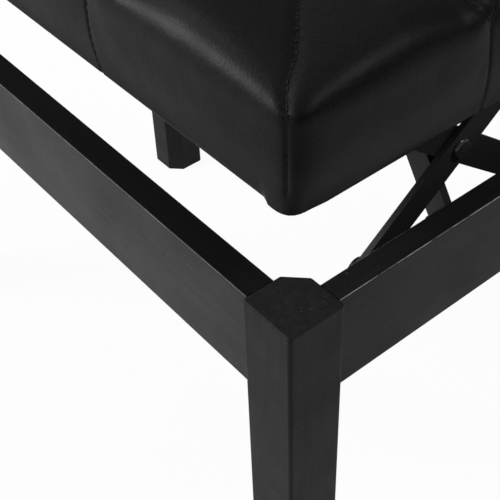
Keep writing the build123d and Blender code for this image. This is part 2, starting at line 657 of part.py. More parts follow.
def make_strut():
    """Strut from the base ears up to the drive nut, slotted at its head."""
    frame = Plane(
        origin=(STRUT_FOOT_X, STRUT_THICKNESS / 2, STRUT_FOOT_Z),
        x_dir=(-cos(STRUT_ANGLE), 0, sin(STRUT_ANGLE)), z_dir=(0, -1, 0))
    section = Pos(STRUT_LENGTH / 2, 0) * SlotCenterToCenter(STRUT_LENGTH, STRUT_WIDTH)
    section -= Circle(STRUT_PIN_RADIUS + FIT)
    slot_width = 2 * (STRUT_PIN_RADIUS + STRUT_SLOT_SIDE_PLAY)
    slot_middle = STRUT_LENGTH - STRUT_SLOT_PLAY / 2
    section -= Pos(slot_middle, 0) * SlotCenterToCenter(STRUT_SLOT_PLAY, slot_width)
    return frame * extrude(section, STRUT_THICKNESS)


def make_centre_hanger():
    """Bracket under the deck that steadies the lead screw at mid length."""
    half = HANGER_WIDTH / 2
    x = (-STEEL / 2, STEEL / 2)
    hanger = block(x, (-half, half), (SCREW_Z, DECK_BOTTOM)) + rod_x(x, 0, SCREW_Z, half)
    hanger += block((x[0], x[1] + HANGER_FOOT), (-half, half), (DECK_BOTTOM - STEEL, DECK_BOTTOM))
    hanger -= rod_x(x, 0, SCREW_Z, LEAD_SCREW_RADIUS + FIT)
    for point in hanger_screw_points():
        hanger -= steel_screw_hole(point)
    return hanger


# Seat
def crown_z(x, y):
    """Height of the crown over a point of the seat."""
    top = SEAT_BOTTOM + SEAT_CROWN_HEIGHT
    return top - x ** 2 / (2 * CROWN_X_RADIUS) - y ** 2 / (2 * CROWN_Y_RADIUS)


def seat_body():
    """Seat form with drawn-in sides and round shoulders."""
    rings = (
        (0, 0, SEAT_CORNER_RADIUS),
        (SEAT_BULGE_HEIGHT, SEAT_SIDE_BULGE, SEAT_CORNER_RADIUS),
        (SEAT_TUCK_HEIGHT, -SEAT_TUCK_RUN, SEAT_CORNER_RADIUS),
        (SEAT_TURN_HEIGHT, -SEAT_TURN_RUN, SEAT_TURN_CORNER),
        (SEAT_CROWN_HEIGHT, -SEAT_TOP_RUN, SEAT_TOP_CORNER),
    )
    sections = []
    for height, swell, corner in rings:
        outline = RectangleRounded(2 * (SEAT_X + swell), 2 * (SEAT_Y + swell), corner)
        sections.append(Pos(0, 0, SEAT_BOTTOM + height) * outline)
    return loft(sections)


def crown_cap():
    """Doubly curved dome that trims the seat form to its crown."""
    axis_z = SEAT_BOTTOM + SEAT_CROWN_HEIGHT - CROWN_X_RADIUS
    reach = SEAT_Y + SEAT_TOP_RUN
    edge_drop = reach ** 2 / (2 * CROWN_Y_RADIUS)
    top = CROWN_X_RADIUS
    deep = top - 2 * SEAT_CROWN_HEIGHT
    arc = Bezier((-reach, top - edge_drop), (0, top + edge_drop), (reach, top - edge_drop))
    sides = Polyline((reach, top - edge_drop), (reach, deep), (-reach, deep), (-reach, top - edge_drop))
    half_turn = degrees(asin((SEAT_X + SEAT_TOP_RUN) / CROWN_X_RADIUS))
    face = Plane(origin=(0, 0, axis_z), x_dir=(0, 1, 0), z_dir=(1, 0, 0)) * make_face([arc, sides])
    pivot = Axis((0, 0, axis_z), (0, 1, 0))
    return revolve(face.rotate(pivot, -half_turn), pivot, 2 * half_turn)


def grid_point(column, row):
    """Point of the tufting grid, counted in half diamonds from the front left corner."""
    return column * SEAT_X / TUFTS_LONG - SEAT_X, TUFT_ROW_SHARES[row] * SEAT_Y


def tuft_points():
    """Places of the buttons, where the seams cross."""
    rows = range(1, len(TUFT_ROW_SHARES) - 1)
    grid = [(column, row) for column in range(1, 2 * TUFTS_LONG) for row in rows]
    return [grid_point(column, row) for column, row in grid if (column + row) % 2 == 0]


def seam_runs():
    """Straight seams of the diamond pattern, each from one crossing or edge to the next."""
    runs = []
    for column in range(2 * TUFTS_LONG):
        for row in range(len(TUFT_ROW_SHARES) - 1):
            rising = (column + row) % 2 == 0
            first, last = (row, row + 1) if rising else (row + 1, row)
            runs.append((grid_point(column, first), grid_point(column + 1, last)))
    return runs


def channel(start, end):
    """Round-bottomed channel along one run of a seam, stopping short of both its ends."""
    lift = CHANNEL_RADIUS - CHANNEL_DEPTH
    ends = [Vector(x, y, crown_z(x, y) + lift) for x, y in (start, end)]
    along = (ends[1] - ends[0]).normalized() * CHANNEL_END_GAP
    return rod(ends[0] + along, ends[1] - along, CHANNEL_RADIUS)


def dimple(x, y):
    """Hollow that a button is drawn down into, with a flat floor under the button."""
    floor_radius = BUTTON_RADIUS + RUN
    height = 2 * TUFT_DEPTH
    top_radius = floor_radius + TUFT_RUN * height / TUFT_DEPTH
    return Pos(x, y, crown_z(x, y) - TUFT_DEPTH) * Cone(floor_radius, top_radius, height, align=UP)


def core(grow, z):
    """Upright block of the wooden seat frame's outline, grown all round, between two heights."""
    outline = RectangleRounded(2 * (APRON_X + grow), 2 * (APRON_Y + grow), CORE_CORNER_RADIUS + grow)
    return Pos(0, 0, z[0]) * extrude(outline, z[1] - z[0])


def knob_shaft_hole():
    """Hole for the knob's shaft through the seat's left side."""
    return rod_x((2 * KNOB_IN, APRON_THICKNESS - APRON_X), 0, SCREW_Z, SCREW_HOLE_RADIUS)


def make_cover():
    """Quilted vinyl cover with its wadding, open below inside its turned-under lip."""
    cover = seat_body() & crown_cap()
    for start, end in seam_runs():
        cover -= channel(start, end)
    for x, y in tuft_points():
        cover -= dimple(x, y)
    cover -= core(RUN, (APRON_BOTTOM, FOAM_TOP + RUN))
    open_x = SEAT_X - COVER_LIP
    open_y = SEAT_Y - COVER_LIP
    cover -= block((-open_x, open_x), (-open_y, open_y), (SEAT_BOTTOM, APRON_BOTTOM))
    return cover - knob_shaft_hole()


def make_foam():
    """Foam slab on the deck, hollowed over the screw heads."""
    foam = core(0, (DECK_TOP, FOAM_TOP))
    for x, y, z in deck_screw_points():
        foam -= rod_z(x, y, (z, z + SCREW_HEAD_HEIGHT + RUN), SCREW_HEAD_RADIUS + RUN)
    return foam


def make_button(x, y):
    """Covered button on the floor of its hollow."""
    button = Cylinder(BUTTON_RADIUS, BUTTON_THICKNESS, align=UP)
    button = fillet(button.edges().group_by(Axis.Z)[-1], BUTTON_ROUND)
    return Pos(x, y, crown_z(x, y) - TUFT_DEPTH) * button


def make_deck():
    """Plywood deck on the apron boards."""
    deck = core(0, (DECK_BOTTOM, DECK_TOP))
    deck -= [screw_hole(point, (0, 0, 1), DECK_SCREW_LENGTH) for point in deck_screw_points()]
    for point in upper_screw_points():
        deck -= both_ends(steel_screw_hole(point))
    for point in hanger_screw_points():
        deck -= steel_screw_hole(point)
    return deck


def make_apron_boards():
    """Front, back, left and right boards of the seat frame, by name."""
    z = (APRON_BOTTOM, DECK_BOTTOM)
    in_x = APRON_X - APRON_THICKNESS
    in_y = APRON_Y - APRON_THICKNESS
    boards = {
        "seat_front_board": block((-APRON_X, APRON_X), (-APRON_Y, -in_y), z),
        "seat_back_board": block((-APRON_X, APRON_X), (in_y, APRON_Y), z),
        "seat_left_board": block((-APRON_X, -in_x), (-in_y, in_y), z),
        "seat_right_board": block((in_x, APRON_X), (-in_y, in_y), z),
    }
    holes = [screw_hole(point, (0, 0, 1), DECK_SCREW_LENGTH) for point in deck_screw_points()]
    holes.append(knob_shaft_hole())
    outline = core(0, z)
    return {name: (board & outline) - holes for name, board in boards.items()}


def make_pieces():
    """Every piece of the stool, by name."""
    leg = make_leg()
    right_rail = make_right_rail()
    back_rail = make_back_rail()
    base_angle = make_base_angle()
    upper_angle = make_upper_angle()
    outer_arm = arm((OUTER_ARM_IN, OUTER_ARM_OUT), 1)
    inner_arm = arm((INNER_ARM_IN, INNER_ARM_OUT), -1)
    strut_ends = EAR_OUTER_Y + PIN_HEAD_HEIGHT
    frame_screws = [corner for screw in make_plate_screws() for corner in four_corners(screw)]
    for point in base_screw_points():
        frame_screws += both_ends(wood_screw(point, (-1, 0, 0), FRAME_SCREW_LENGTH))
    seat_screws = [steel_screw(point) for point in hanger_screw_points()]
    for point in upper_screw_points():
        seat_screws += both_ends(steel_screw(point))
    deck_screws = [wood_screw(point, (0, 0, 1), DECK_SCREW_LENGTH) for point in deck_screw_points()]
    dowels = [corner for bar in dowel_bars(DOWEL_RADIUS, 0) for corner in four_corners(bar)]

    pieces = {
        "back_right_leg": leg,
        "back_left_leg": mirror(leg, about=LEFT),
        "front_right_leg": mirror(leg, about=FRONT),
        "front_left_leg": mirror(mirror(leg, about=LEFT), about=FRONT),
        "right_rail": right_rail,
        "left_rail": mirror(right_rail, about=LEFT),
        "back_rail": back_rail,
        "front_rail": mirror(back_rail, about=FRONT),
        "floor_glides": group(four_corners(make_glide())),
        "rail_dowels": group(dowels),
        "corner_plates": group(four_corners(make_corner_plate())),
        "hanger_bolts": group(four_corners(make_hanger_bolt())),
        "corner_nuts": group(four_corners(make_corner_nut())),
        "corner_washers": group(four_corners(make_corner_washer())),
        "frame_screws": group(frame_screws),
        "seat_deck": make_deck(),
        "deck_screws": group(deck_screws),
        "seat_steel_screws": group(seat_screws),
        "centre_hanger": make_centre_hanger(),
        "screw_bushes": group(both_ends(make_bush())),
        "lead_screw": make_lead_screw(),
        "screw_collars": group(both_ends(make_collar())),
        "height_knob": make_knob(),
        "knob_grub_screw": make_grub_screw(),
        "seat_foam": make_foam(),
        "seat_cover": make_cover(),
        "tuft_buttons": group(make_button(x, y) for x, y in tuft_points()),
    }
    pieces.update(make_apron_boards())
    pairs = {
        "base_angle": base_angle,
        "lower_pivot_pin": make_lower_pivot_pin(),
        "strut_foot_pin": make_strut_pin(STRUT_FOOT_X, STRUT_FOOT_Z, EAR_OUTER_Y, strut_ends),
        "outer_arm": outer_arm,
        "inner_arm": inner_arm,
        "centre_rivet": make_centre_rivet(),
        "upper_slide_pin": make_upper_slide_pin(),
        "upper_spacer": make_upper_spacer(),
        "lower_slide_pin": make_lower_slide_pin(),
        "upper_angle": upper_angle,
        "upper_pivot_pin": make_upper_pivot_pin(),
        "drive_nut": make_drive_nut(),
        "strut_head_pin": make_strut_pin(NUT_X, STRUT_HEAD_Z, EAR_OUTER_Y, strut_ends),
        "strut": make_strut(),
    }
    for name, piece in pairs.items():
        pieces["right_" + name] = piece
        pieces["left_" + name] = mirror(piece, about=LEFT)
    return pieces


def print_motion():
    """Angles and travels that follow from the sizes, for setting the joints."""
    fold = ARM_ANGLE - ARM_LOW_ANGLE
    print("scissor angle", round(degrees(ARM_ANGLE), 3), "folds by", round(degrees(fold), 3))
    print("pivot y", round(PIVOT_Y, 3), "heights", LOWER_PIVOT_Z, PIVOT_Z, UPPER_PIVOT_Z)
    turn = STRUT_ANGLE - STRUT_LOW_ANGLE
    print("strut turns by", round(degrees(turn), 3), "foot", STRUT_FOOT_X, STRUT_FOOT_Z)
    print("nut at", round(NUT_X, 3), "travels", round(NUT_TRAVEL, 3), "screw z", SCREW_Z)


os.makedirs("parts", exist_ok=True)
for name, piece in make_pieces().items():
    export_step(piece, f"parts/{name}.step")
print_motion()
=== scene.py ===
"""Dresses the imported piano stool: lacquered frame, powder-coated lift, tufted vinyl seat and its studio."""
import math

import bmesh
import bpy
import numpy as np
from mathutils import Matrix, Vector, kdtree, noise
from mathutils.bvhtree import BVHTree


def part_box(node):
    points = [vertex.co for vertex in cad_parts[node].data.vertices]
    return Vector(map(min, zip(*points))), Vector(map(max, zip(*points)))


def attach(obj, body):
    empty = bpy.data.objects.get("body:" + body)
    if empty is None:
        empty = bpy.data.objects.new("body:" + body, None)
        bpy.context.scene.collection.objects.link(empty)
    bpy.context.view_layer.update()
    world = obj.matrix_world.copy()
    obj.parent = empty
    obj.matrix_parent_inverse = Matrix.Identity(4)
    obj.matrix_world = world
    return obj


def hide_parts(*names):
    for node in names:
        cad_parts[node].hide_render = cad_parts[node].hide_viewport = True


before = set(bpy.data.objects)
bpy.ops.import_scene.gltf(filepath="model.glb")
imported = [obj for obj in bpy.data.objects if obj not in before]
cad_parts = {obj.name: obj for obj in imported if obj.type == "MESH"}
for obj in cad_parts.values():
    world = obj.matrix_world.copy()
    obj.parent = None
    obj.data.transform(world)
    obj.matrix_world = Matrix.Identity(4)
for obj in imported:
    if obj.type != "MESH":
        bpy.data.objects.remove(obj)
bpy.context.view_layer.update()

bl_info = {
    "name": "Piano stool",
    "version": (1, 0, 0),
    "blender": (4, 5, 0),
    "location": "View3D > Sidebar > Stool",
    "description": "Builds the looks of a piano stool around its CAD frame",
    "category": "Object",
}

# Seat sizes taken from the frame, in metres, with room for wadding and vinyl round the deck
SEAT_LOW, SEAT_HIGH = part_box("seat_cover")
DECK_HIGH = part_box("seat_deck")[1]
COVER_ROOM = 0.0031
HALF_LONG = DECK_HIGH.x + COVER_ROOM
HALF_DEEP = DECK_HIGH.y + COVER_ROOM
SEAT_FOOT = SEAT_LOW.z
BUTTON_LOW, BUTTON_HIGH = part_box("tuft_buttons")
BUTTON_RADIUS = 0.010

# Corner radii of the rows that round the shoulder, from the quilted top outwards
SHOULDER_CORNERS = (0.006, 0.009, 0.0105, 0.0105, 0.010, 0.0095)

# Quilting grid: half diamonds along and across, mesh cells in each, and cells that the shoulder takes
HALVES_LONG = 6
HALVES_DEEP = 4
CELLS = 18
EDGE = len(SHOULDER_CORNERS)
LAST_I = HALVES_LONG * CELLS
LAST_J = HALVES_DEEP * CELLS
CELL_X = 2 * HALF_LONG / LAST_I
ROW_PLACES = (-HALF_DEEP, BUTTON_LOW.y + BUTTON_RADIUS, 0.0, BUTTON_HIGH.y - BUTTON_RADIUS, HALF_DEEP)

# Quilted top: steepness of a diamond, spread of a button's draw, and where the top starts over the foot
PILLOW_POWER = 2.2
TUFT_SPREAD = 0.021
TOP_START = 0.045

# Sides: heights where they are fullest and where they end, inset there, corner radius and rows of mesh
SIDE_FULL = 0.024
SIDE_TOP = 0.056
SIDE_INSET = 0.0006
SIDE_CORNER = SHOULDER_CORNERS[-1]
SIDE_ROWS = 12

# Turned-under lip: inset and height of each row, tightest corner, and how many rows have no seam
LIP_ROWS = ((-0.0004, 0.0022), (0.0004, 0.0007), (0.0018, 0.0), (0.007, 0.0), (0.012, 0.0))
LIP_CORNER = 0.0015
LIP_UNSEWN = 2

# Where the corner seam lies on the corner's turn, from the long side
CORNER_SEAM = math.radians(16)

# Stretch of a grain: the same all ways, or long along one axis
EVEN = (1.0, 1.0, 1.0)
ALONG_X = (0.06, 1.0, 1.0)
ALONG_Y = (1.0, 0.06, 1.0)
ALONG_Z = (1.0, 1.0, 0.06)

# Colours of marks and small fittings, with thread and plastic from dark to light; the arris line's colour is
# partly worn finish and partly painted highlight, and the black is painted shade on the tops
DUST = (0.075, 0.072, 0.068)
WORN_EDGE_AND_HIGHLIGHT = (0.50, 0.49, 0.47)
RUBBED_SPECK = (0.10, 0.10, 0.10)
TOP_SHADE_BLACK = (0.0, 0.0, 0.0)
THREAD = ((0.002, 0.002, 0.002), (0.008, 0.008, 0.008))
PLASTIC = ((0.012, 0.012, 0.012), (0.020, 0.020, 0.020))
BRASS = (0.66, 0.46, 0.18)

# Camera fitted to the photo: its place and its axes
CAMERA_PLACE = (0.5790, -0.4090, 0.8218)
CAMERA_RIGHT = (0.6345, 0.7723, -0.0306)
CAMERA_UP = (-0.5203, 0.4560, 0.7221)
CAMERA_BACK = (0.5717, -0.4423, 0.6912)


class FinishSettings(bpy.types.PropertyGroup):
    """Colours of the stool's finishes."""
    lacquer: bpy.props.FloatVectorProperty(
        name="Lacquer", description="Black lacquer on the legs and rails", subtype="COLOR", size=3,
        min=0, max=1, default=(0.0115, 0.0116, 0.0117))
    vinyl: bpy.props.FloatVectorProperty(
        name="Vinyl", description="Grained vinyl of the seat cover", subtype="COLOR", size=3,
        min=0, max=1, default=(0.0085, 0.0086, 0.0087))
    powder_coat: bpy.props.FloatVectorProperty(
        name="Powder coat", description="Black powder coat on the lift's steel", subtype="COLOR", size=3,
        min=0, max=1, default=(0.0250, 0.0250, 0.0244))
    zinc: bpy.props.FloatVectorProperty(
        name="Zinc", description="Bright zinc on screws and pins", subtype="COLOR", size=3,
        min=0, max=1, default=(0.58, 0.58, 0.60))
    plywood: bpy.props.FloatVectorProperty(
        name="Plywood", description="Bare wood under the seat", subtype="COLOR", size=3,
        min=0, max=1, default=(0.50, 0.36, 0.22))


class CushionSettings(bpy.types.PropertyGroup):
    """Sizes of the tufted seat."""
    crown: bpy.props.FloatProperty(
        name="Crown", description="Height of the seat's middle over its lower edge", unit="LENGTH",
        default=SEAT_HIGH.z - SEAT_FOOT)
    crown_drop: bpy.props.FloatProperty(
        name="Crown drop", description="How far the crown falls to the middle of each side", unit="LENGTH",
        default=0.0025)
    puff: bpy.props.FloatProperty(
        name="Puff", description="Height of a diamond's middle over its seams", unit="LENGTH", default=0.006)
    tuft_depth: bpy.props.FloatProperty(
        name="Tuft depth", description="How far a button is drawn down under the crown", unit="LENGTH",
        default=0.012)
    seam_depth: bpy.props.FloatProperty(
        name="Seam depth", description="Depth of the sewn crease", unit="LENGTH", default=0.0014)
    side_bulge: bpy.props.FloatProperty(
        name="Side bulge", description="How far the sides stand out at their fullest", unit="LENGTH",
        default=SEAT_HIGH.x - HALF_LONG)
    shoulder_fall: bpy.props.FloatProperty(
        name="Shoulder fall", description="How far the rounded shoulder drops from the top to the side",
        unit="LENGTH", default=0.015)
    seam_start: bpy.props.FloatProperty(
        name="Seam start", description="How far in the long sides' upright seams start at the shoulder",
        unit="LENGTH", default=0.0034)
    seam_lean: bpy.props.FloatProperty(
        name="Seam lean", description="How far out the long sides' upright seams end at their foot",
        unit="LENGTH", default=0.0063)
    seam_shift: bpy.props.FloatProperty(
        name="Seam shift", description="How far in front of the middle the short sides' seams were sewn",
        unit="LENGTH", default=0.005)
    skin: bpy.props.FloatProperty(
        name="Skin", description="Thickness of the vinyl", unit="LENGTH", default=0.0012)
    stitch_pitch: bpy.props.FloatProperty(
        name="Stitch pitch", description="Distance from one stitch to the next", unit="LENGTH",
        default=0.0052)


class StageSettings(bpy.types.PropertyGroup):
    """Camera, floor and light."""
    lens: bpy.props.FloatProperty(
        name="Lens", description="Focal length that fits the photo", unit="CAMERA", default=75.6)
    floor_colour: bpy.props.FloatVectorProperty(
        name="Floor", description="Pale studio floor", subtype="COLOR", size=3, min=0, max=1,
        default=(0.72, 0.72, 0.72))
    key_power: bpy.props.FloatProperty(
        name="Key light", description="Soft box at the front left", subtype="POWER", default=50.0)
    fill_power: bpy.props.FloatProperty(
        name="Fill light", description="Soft box high at the right", subtype="POWER", default=15.0)
    edge_power: bpy.props.FloatProperty(
        name="Edge light", description="Soft box high at the left", subtype="POWER", default=8.5)
    top_power: bpy.props.FloatProperty(
        name="Top light", description="Wide soft box overhead", subtype="POWER", default=4.0)


# Node helpers
def put(tree, kind, **inputs):
    """Place a node and set its inputs by name, with underscores for spaces."""
    node = tree.nodes.new(kind)
    for name, value in inputs.items():
        node.inputs[name.replace("_", " ")].default_value = value
    return node


def link(tree, source, target):
    """Join an output to an input."""
    tree.links.new(source, target)


def maths(tree, operation, first, second):
    """Math node whose two inputs are sockets or numbers."""
    node = tree.nodes.new("ShaderNodeMath")
    node.operation = operation
    for socket, value in zip(node.inputs, (first, second)):
        if isinstance(value, (int, float)):
            socket.default_value = value
        else:
            link(tree, value, socket)
    return node.outputs[0]


def blend_colour(tree, mask, first, second):
    """Colour mix by a mask, from colours or sockets."""
    node = tree.nodes.new("ShaderNodeMix")
    node.data_type = "RGBA"
    link(tree, mask, node.inputs["Factor"])
    for socket, value in zip((node.inputs[6], node.inputs[7]), (first, second)):
        if isinstance(value, (tuple, list)):
            socket.default_value = (*value[:3], 1)
        else:
            link(tree, value, socket)
    return node.outputs[2]


def spread(tree, value, low, high, most=1.0):
    """Map a range of a value onto 0 to the given most."""
    node = put(tree, "ShaderNodeMapRange", From_Min=low, From_Max=high, To_Min=0.0, To_Max=most)
    link(tree, value, node.inputs["Value"])
    return node.outputs["Result"]


def start_group(name, inputs, outputs):
    """Empty shader group with its sockets, as (tree, input node, output node)."""
    tree = bpy.data.node_groups.new(name, "ShaderNodeTree")
    for socket, kind, default in inputs:
        made = tree.interface.new_socket(socket, in_out="INPUT", socket_type=kind)
        if default is not None:
            made.default_value = default
    for socket, kind in outputs:
        tree.interface.new_socket(socket, in_out="OUTPUT", socket_type=kind)
    return tree, tree.nodes.new("NodeGroupInput"), tree.nodes.new("NodeGroupOutput")


def stretched(tree, inlet):
    """A group's coordinates times its stretch."""
    node = tree.nodes.new("ShaderNodeVectorMath")
    node.operation = "MULTIPLY"
    link(tree, inlet.outputs["Vector"], node.inputs[0])
    link(tree, inlet.outputs["Stretch"], node.inputs[1])
    return node.outputs[0]


# Effects that several finishes share
def flecks_group():
    """Sparse pale specks of dust and tiny nicks."""
    name = "Dust flecks"
    if name in bpy.data.node_groups:
        return bpy.data.node_groups[name]
    tree, inlet, outlet = start_group(
        name,
        [("Vector", "NodeSocketVector", None), ("Stretch", "NodeSocketVector", EVEN),
         ("Scale", "NodeSocketFloat", 300.0), ("Size", "NodeSocketFloat", 0.08)],
        [("Mask", "NodeSocketFloat")])
    patch_share = 0.12
    dots = put(tree, "ShaderNodeTexVoronoi")
    patches = put(tree, "ShaderNodeTexNoise", Detail=2.0)
    link(tree, stretched(tree, inlet), dots.inputs["Vector"])
    link(tree, inlet.outputs["Scale"], dots.inputs["Scale"])
    link(tree, inlet.outputs["Vector"], patches.inputs["Vector"])
    link(tree, maths(tree, "MULTIPLY", inlet.outputs["Scale"], patch_share), patches.inputs["Scale"])
    near = maths(tree, "LESS_THAN", dots.outputs["Distance"], inlet.outputs["Size"])
    chosen = spread(tree, patches.outputs["Fac"], 0.52, 0.62)
    link(tree, maths(tree, "MULTIPLY", near, chosen), outlet.inputs["Mask"])
    return tree


def gloss_group():
    """Roughness that wanders softly between two values."""
    name = "Uneven gloss"
    if name in bpy.data.node_groups:
        return bpy.data.node_groups[name]
    tree, inlet, outlet = start_group(
        name,
        [("Vector", "NodeSocketVector", None), ("Scale", "NodeSocketFloat", 20.0),
         ("Low", "NodeSocketFloat", 0.35), ("High", "NodeSocketFloat", 0.50)],
        [("Roughness", "NodeSocketFloat")])
    cloud = put(tree, "ShaderNodeTexNoise", Detail=4.0, Roughness=0.6)
    link(tree, inlet.outputs["Vector"], cloud.inputs["Vector"])
    link(tree, inlet.outputs["Scale"], cloud.inputs["Scale"])
    span = maths(tree, "SUBTRACT", inlet.outputs["High"], inlet.outputs["Low"])
    share = spread(tree, cloud.outputs["Fac"], 0.3, 0.7)
    rough = maths(tree, "ADD", maths(tree, "MULTIPLY", share, span), inlet.outputs["Low"])
    link(tree, rough, outlet.inputs["Roughness"])
    return tree


def grain_group():
    """Height of a fine texture: streaks where the coordinates are stretched, stipple where they aren't."""
    name = "Fine grain"
    if name in bpy.data.node_groups:
        return bpy.data.node_groups[name]
    tree, inlet, outlet = start_group(
        name,
        [("Vector", "NodeSocketVector", None), ("Stretch", "NodeSocketVector", EVEN),
         ("Scale", "NodeSocketFloat", 400.0)],
        [("Height", "NodeSocketFloat")])
    fibres = put(tree, "ShaderNodeTexNoise", Detail=5.0, Roughness=0.65)
    link(tree, stretched(tree, inlet), fibres.inputs["Vector"])
    link(tree, inlet.outputs["Scale"], fibres.inputs["Scale"])
    link(tree, fibres.outputs["Fac"], outlet.inputs["Height"])
    return tree


def wear_and_highlight_group():
    """Thin pale line along the upper arrises, in broken lengths, partly where the finish has rubbed thin and
    partly a painted highlight.
    """
    name = "Worn edges"
    if name in bpy.data.node_groups:
        return bpy.data.node_groups[name]
    tree, inlet, outlet = start_group(
        name,
        [("Vector", "NodeSocketVector", None), ("Rise", "NodeSocketFloat", 0.0),
         ("Wear", "NodeSocketFloat", 0.5)],
        [("Mask", "NodeSocketFloat")])
    off_side = spread(tree, inlet.outputs["Rise"], 0.34, 0.42)
    off_top = spread(tree, inlet.outputs["Rise"], 0.76, 0.68)
    line = maths(tree, "MULTIPLY", off_side, off_top)
    patches = put(tree, "ShaderNodeTexNoise", Scale=55.0, Detail=4.0, Roughness=0.7)
    link(tree, inlet.outputs["Vector"], patches.inputs["Vector"])
    broken = maths(tree, "MULTIPLY", line, spread(tree, patches.outputs["Fac"], 0.30, 0.55))
    link(tree, maths(tree, "MULTIPLY", broken, inlet.outputs["Wear"]), outlet.inputs["Mask"])
    return tree


def use_group(tree, group, vector, **inputs):
    """Place a group in a material with its own values."""
    node = tree.nodes.new("ShaderNodeGroup")
    node.node_tree = group
    link(tree, vector, node.inputs["Vector"])
    for name, value in inputs.items():
        node.inputs[name].default_value = value
    return node


def grain(tree, place, stretch, scale):
    """Height of a fine grain."""
    return use_group(tree, grain_group(), place, Stretch=stretch, Scale=scale).outputs["Height"]


def flecks(tree, place, stretch, scale, size):
    """Mask of sparse specks."""
    return use_group(tree, flecks_group(), place, Stretch=stretch, Scale=scale, Size=size).outputs["Mask"]


def uneven_gloss(tree, place, scale, gloss):
    """Roughness between the two values of a gloss."""
    low, high = gloss
    return use_group(tree, gloss_group(), place, Scale=scale, Low=low, High=high).outputs["Roughness"]


def worn_and_highlit_edges(tree, place, rise, wear_and_highlight):
    """Mask of the upper arrises' pale line, partly worn finish and partly a painted highlight."""
    node = use_group(tree, wear_and_highlight_group(), place, Wear=wear_and_highlight)
    link(tree, rise, node.inputs["Rise"])
    return node.outputs["Mask"]


def shade(colour, share=1.0):
    """A colour made lighter or darker."""
    return tuple(channel * share for channel in colour)


# Finishes
def start_material(name, specular, metallic=0.0):
    """New material with its shader, as (material, tree, shader, object coordinates)."""
    material = bpy.data.materials.new(name)
    material.use_nodes = True
    tree = material.node_tree
    shader = next(node for node in tree.nodes if node.type == "BSDF_PRINCIPLED")
    shader.inputs["Specular IOR Level"].default_value = specular
    shader.inputs["Metallic"].default_value = metallic
    place = tree.nodes.new("ShaderNodeTexCoord").outputs["Object"]
    return material, tree, shader, place


def add_bump(tree, shader, height, strength, distance):
    """Feed a height into the shader's normal."""
    bump = put(tree, "ShaderNodeBump", Strength=strength, Distance=distance)
    link(tree, height, bump.inputs["Height"])
    link(tree, bump.outputs["Normal"], shader.inputs["Normal"])


def upward(tree):
    """How far a surface faces up: 1 on a top, 0 on a side and -1 underneath."""
    facing = tree.nodes.new("ShaderNodeSeparateXYZ")
    link(tree, tree.nodes.new("ShaderNodeNewGeometry").outputs["Normal"], facing.inputs[0])
    return facing.outputs["Z"]


def lacquer_material(name, colour, stretch, specular, gloss, wear_and_highlight, matt_and_shaded_top):
    """Satin black lacquer on wood, with pores, dust, nicks, a line on the upper arrises that is partly worn
    finish and partly painted highlight, and a top made as matt as asked and darkened towards black as painted
    shade.
    """
    material, tree, shader, place = start_material(name, specular)
    pores = grain(tree, place, stretch, scale=260.0)
    dust = flecks(tree, place, EVEN, scale=330.0, size=0.11)
    nicks = flecks(tree, place, stretch=(0.35, 1.0, 1.0), scale=190.0, size=0.075)
    rise = upward(tree)
    # Tops are made rougher and darkened towards black; the darkening is painted shade
    matt = spread(tree, rise, 0.8, 0.98, most=matt_and_shaded_top)
    body = blend_colour(tree, spread(tree, pores, 0.35, 0.65), shade(colour), shade(colour, 1.5))
    body = blend_colour(tree, maths(tree, "MAXIMUM", dust, nicks), body, DUST)
    # Pale line on the upper arrises: partly rubbed-thin finish, partly a painted highlight
    body = blend_colour(tree, worn_and_highlit_edges(tree, place, rise, wear_and_highlight), body, WORN_EDGE_AND_HIGHLIGHT)
    link(tree, blend_colour(tree, matt, body, TOP_SHADE_BLACK), shader.inputs["Base Color"])
    rough = maths(tree, "ADD", uneven_gloss(tree, place, scale=22.0, gloss=gloss), matt)
    link(tree, rough, shader.inputs["Roughness"])
    add_bump(tree, shader, pores, strength=0.10, distance=0.0004)
    return material


def vinyl_material(colour):
    """Soft black vinyl with an embossed hide grain."""
    material, tree, shader, place = start_material("black_vinyl", specular=0.076)
    pebbles = put(tree, "ShaderNodeTexVoronoi", Scale=620.0, Randomness=1.0)
    pebbles.feature = "SMOOTH_F1"
    link(tree, place, pebbles.inputs["Vector"])
    hollow = pebbles.outputs["Distance"]
    crease_share = 1.4
    creases = maths(tree, "MULTIPLY", grain(tree, place, EVEN, scale=170.0), crease_share)
    body = blend_colour(tree, spread(tree, hollow, 0.15, 0.65), shade(colour), shade(colour, 0.65))
    link(tree, body, shader.inputs["Base Color"])
    link(tree, uneven_gloss(tree, place, scale=30.0, gloss=(0.40, 0.48)), shader.inputs["Roughness"])
    add_bump(tree, shader, maths(tree, "SUBTRACT", creases, hollow), strength=0.15, distance=0.0006)
    return material


def thread_material():
    """Waxed black sewing thread with a twist."""
    material, tree, shader, place = start_material("black_thread", specular=0.25)
    twist = grain(tree, place, EVEN, scale=1500.0)
    link(tree, blend_colour(tree, spread(tree, twist, 0.3, 0.7), *THREAD), shader.inputs["Base Color"])
    shader.inputs["Roughness"].default_value = 0.7
    add_bump(tree, shader, twist, strength=0.5, distance=0.0003)
    return material


def coated_steel_material(name, colour, specular, gloss):
    """Black powder coat with a fine stipple and a few rubbed specks."""
    material, tree, shader, place = start_material(name, specular)
    stipple = grain(tree, place, EVEN, scale=900.0)
    specks = flecks(tree, place, EVEN, scale=260.0, size=0.07)
    body = blend_colour(tree, spread(tree, stipple, 0.35, 0.65), shade(colour), shade(colour, 1.4))
    link(tree, blend_colour(tree, specks, body, RUBBED_SPECK), shader.inputs["Base Color"])
    link(tree, uneven_gloss(tree, place, scale=45.0, gloss=gloss), shader.inputs["Roughness"])
    add_bump(tree, shader, stipple, strength=0.12, distance=0.0003)
    return material


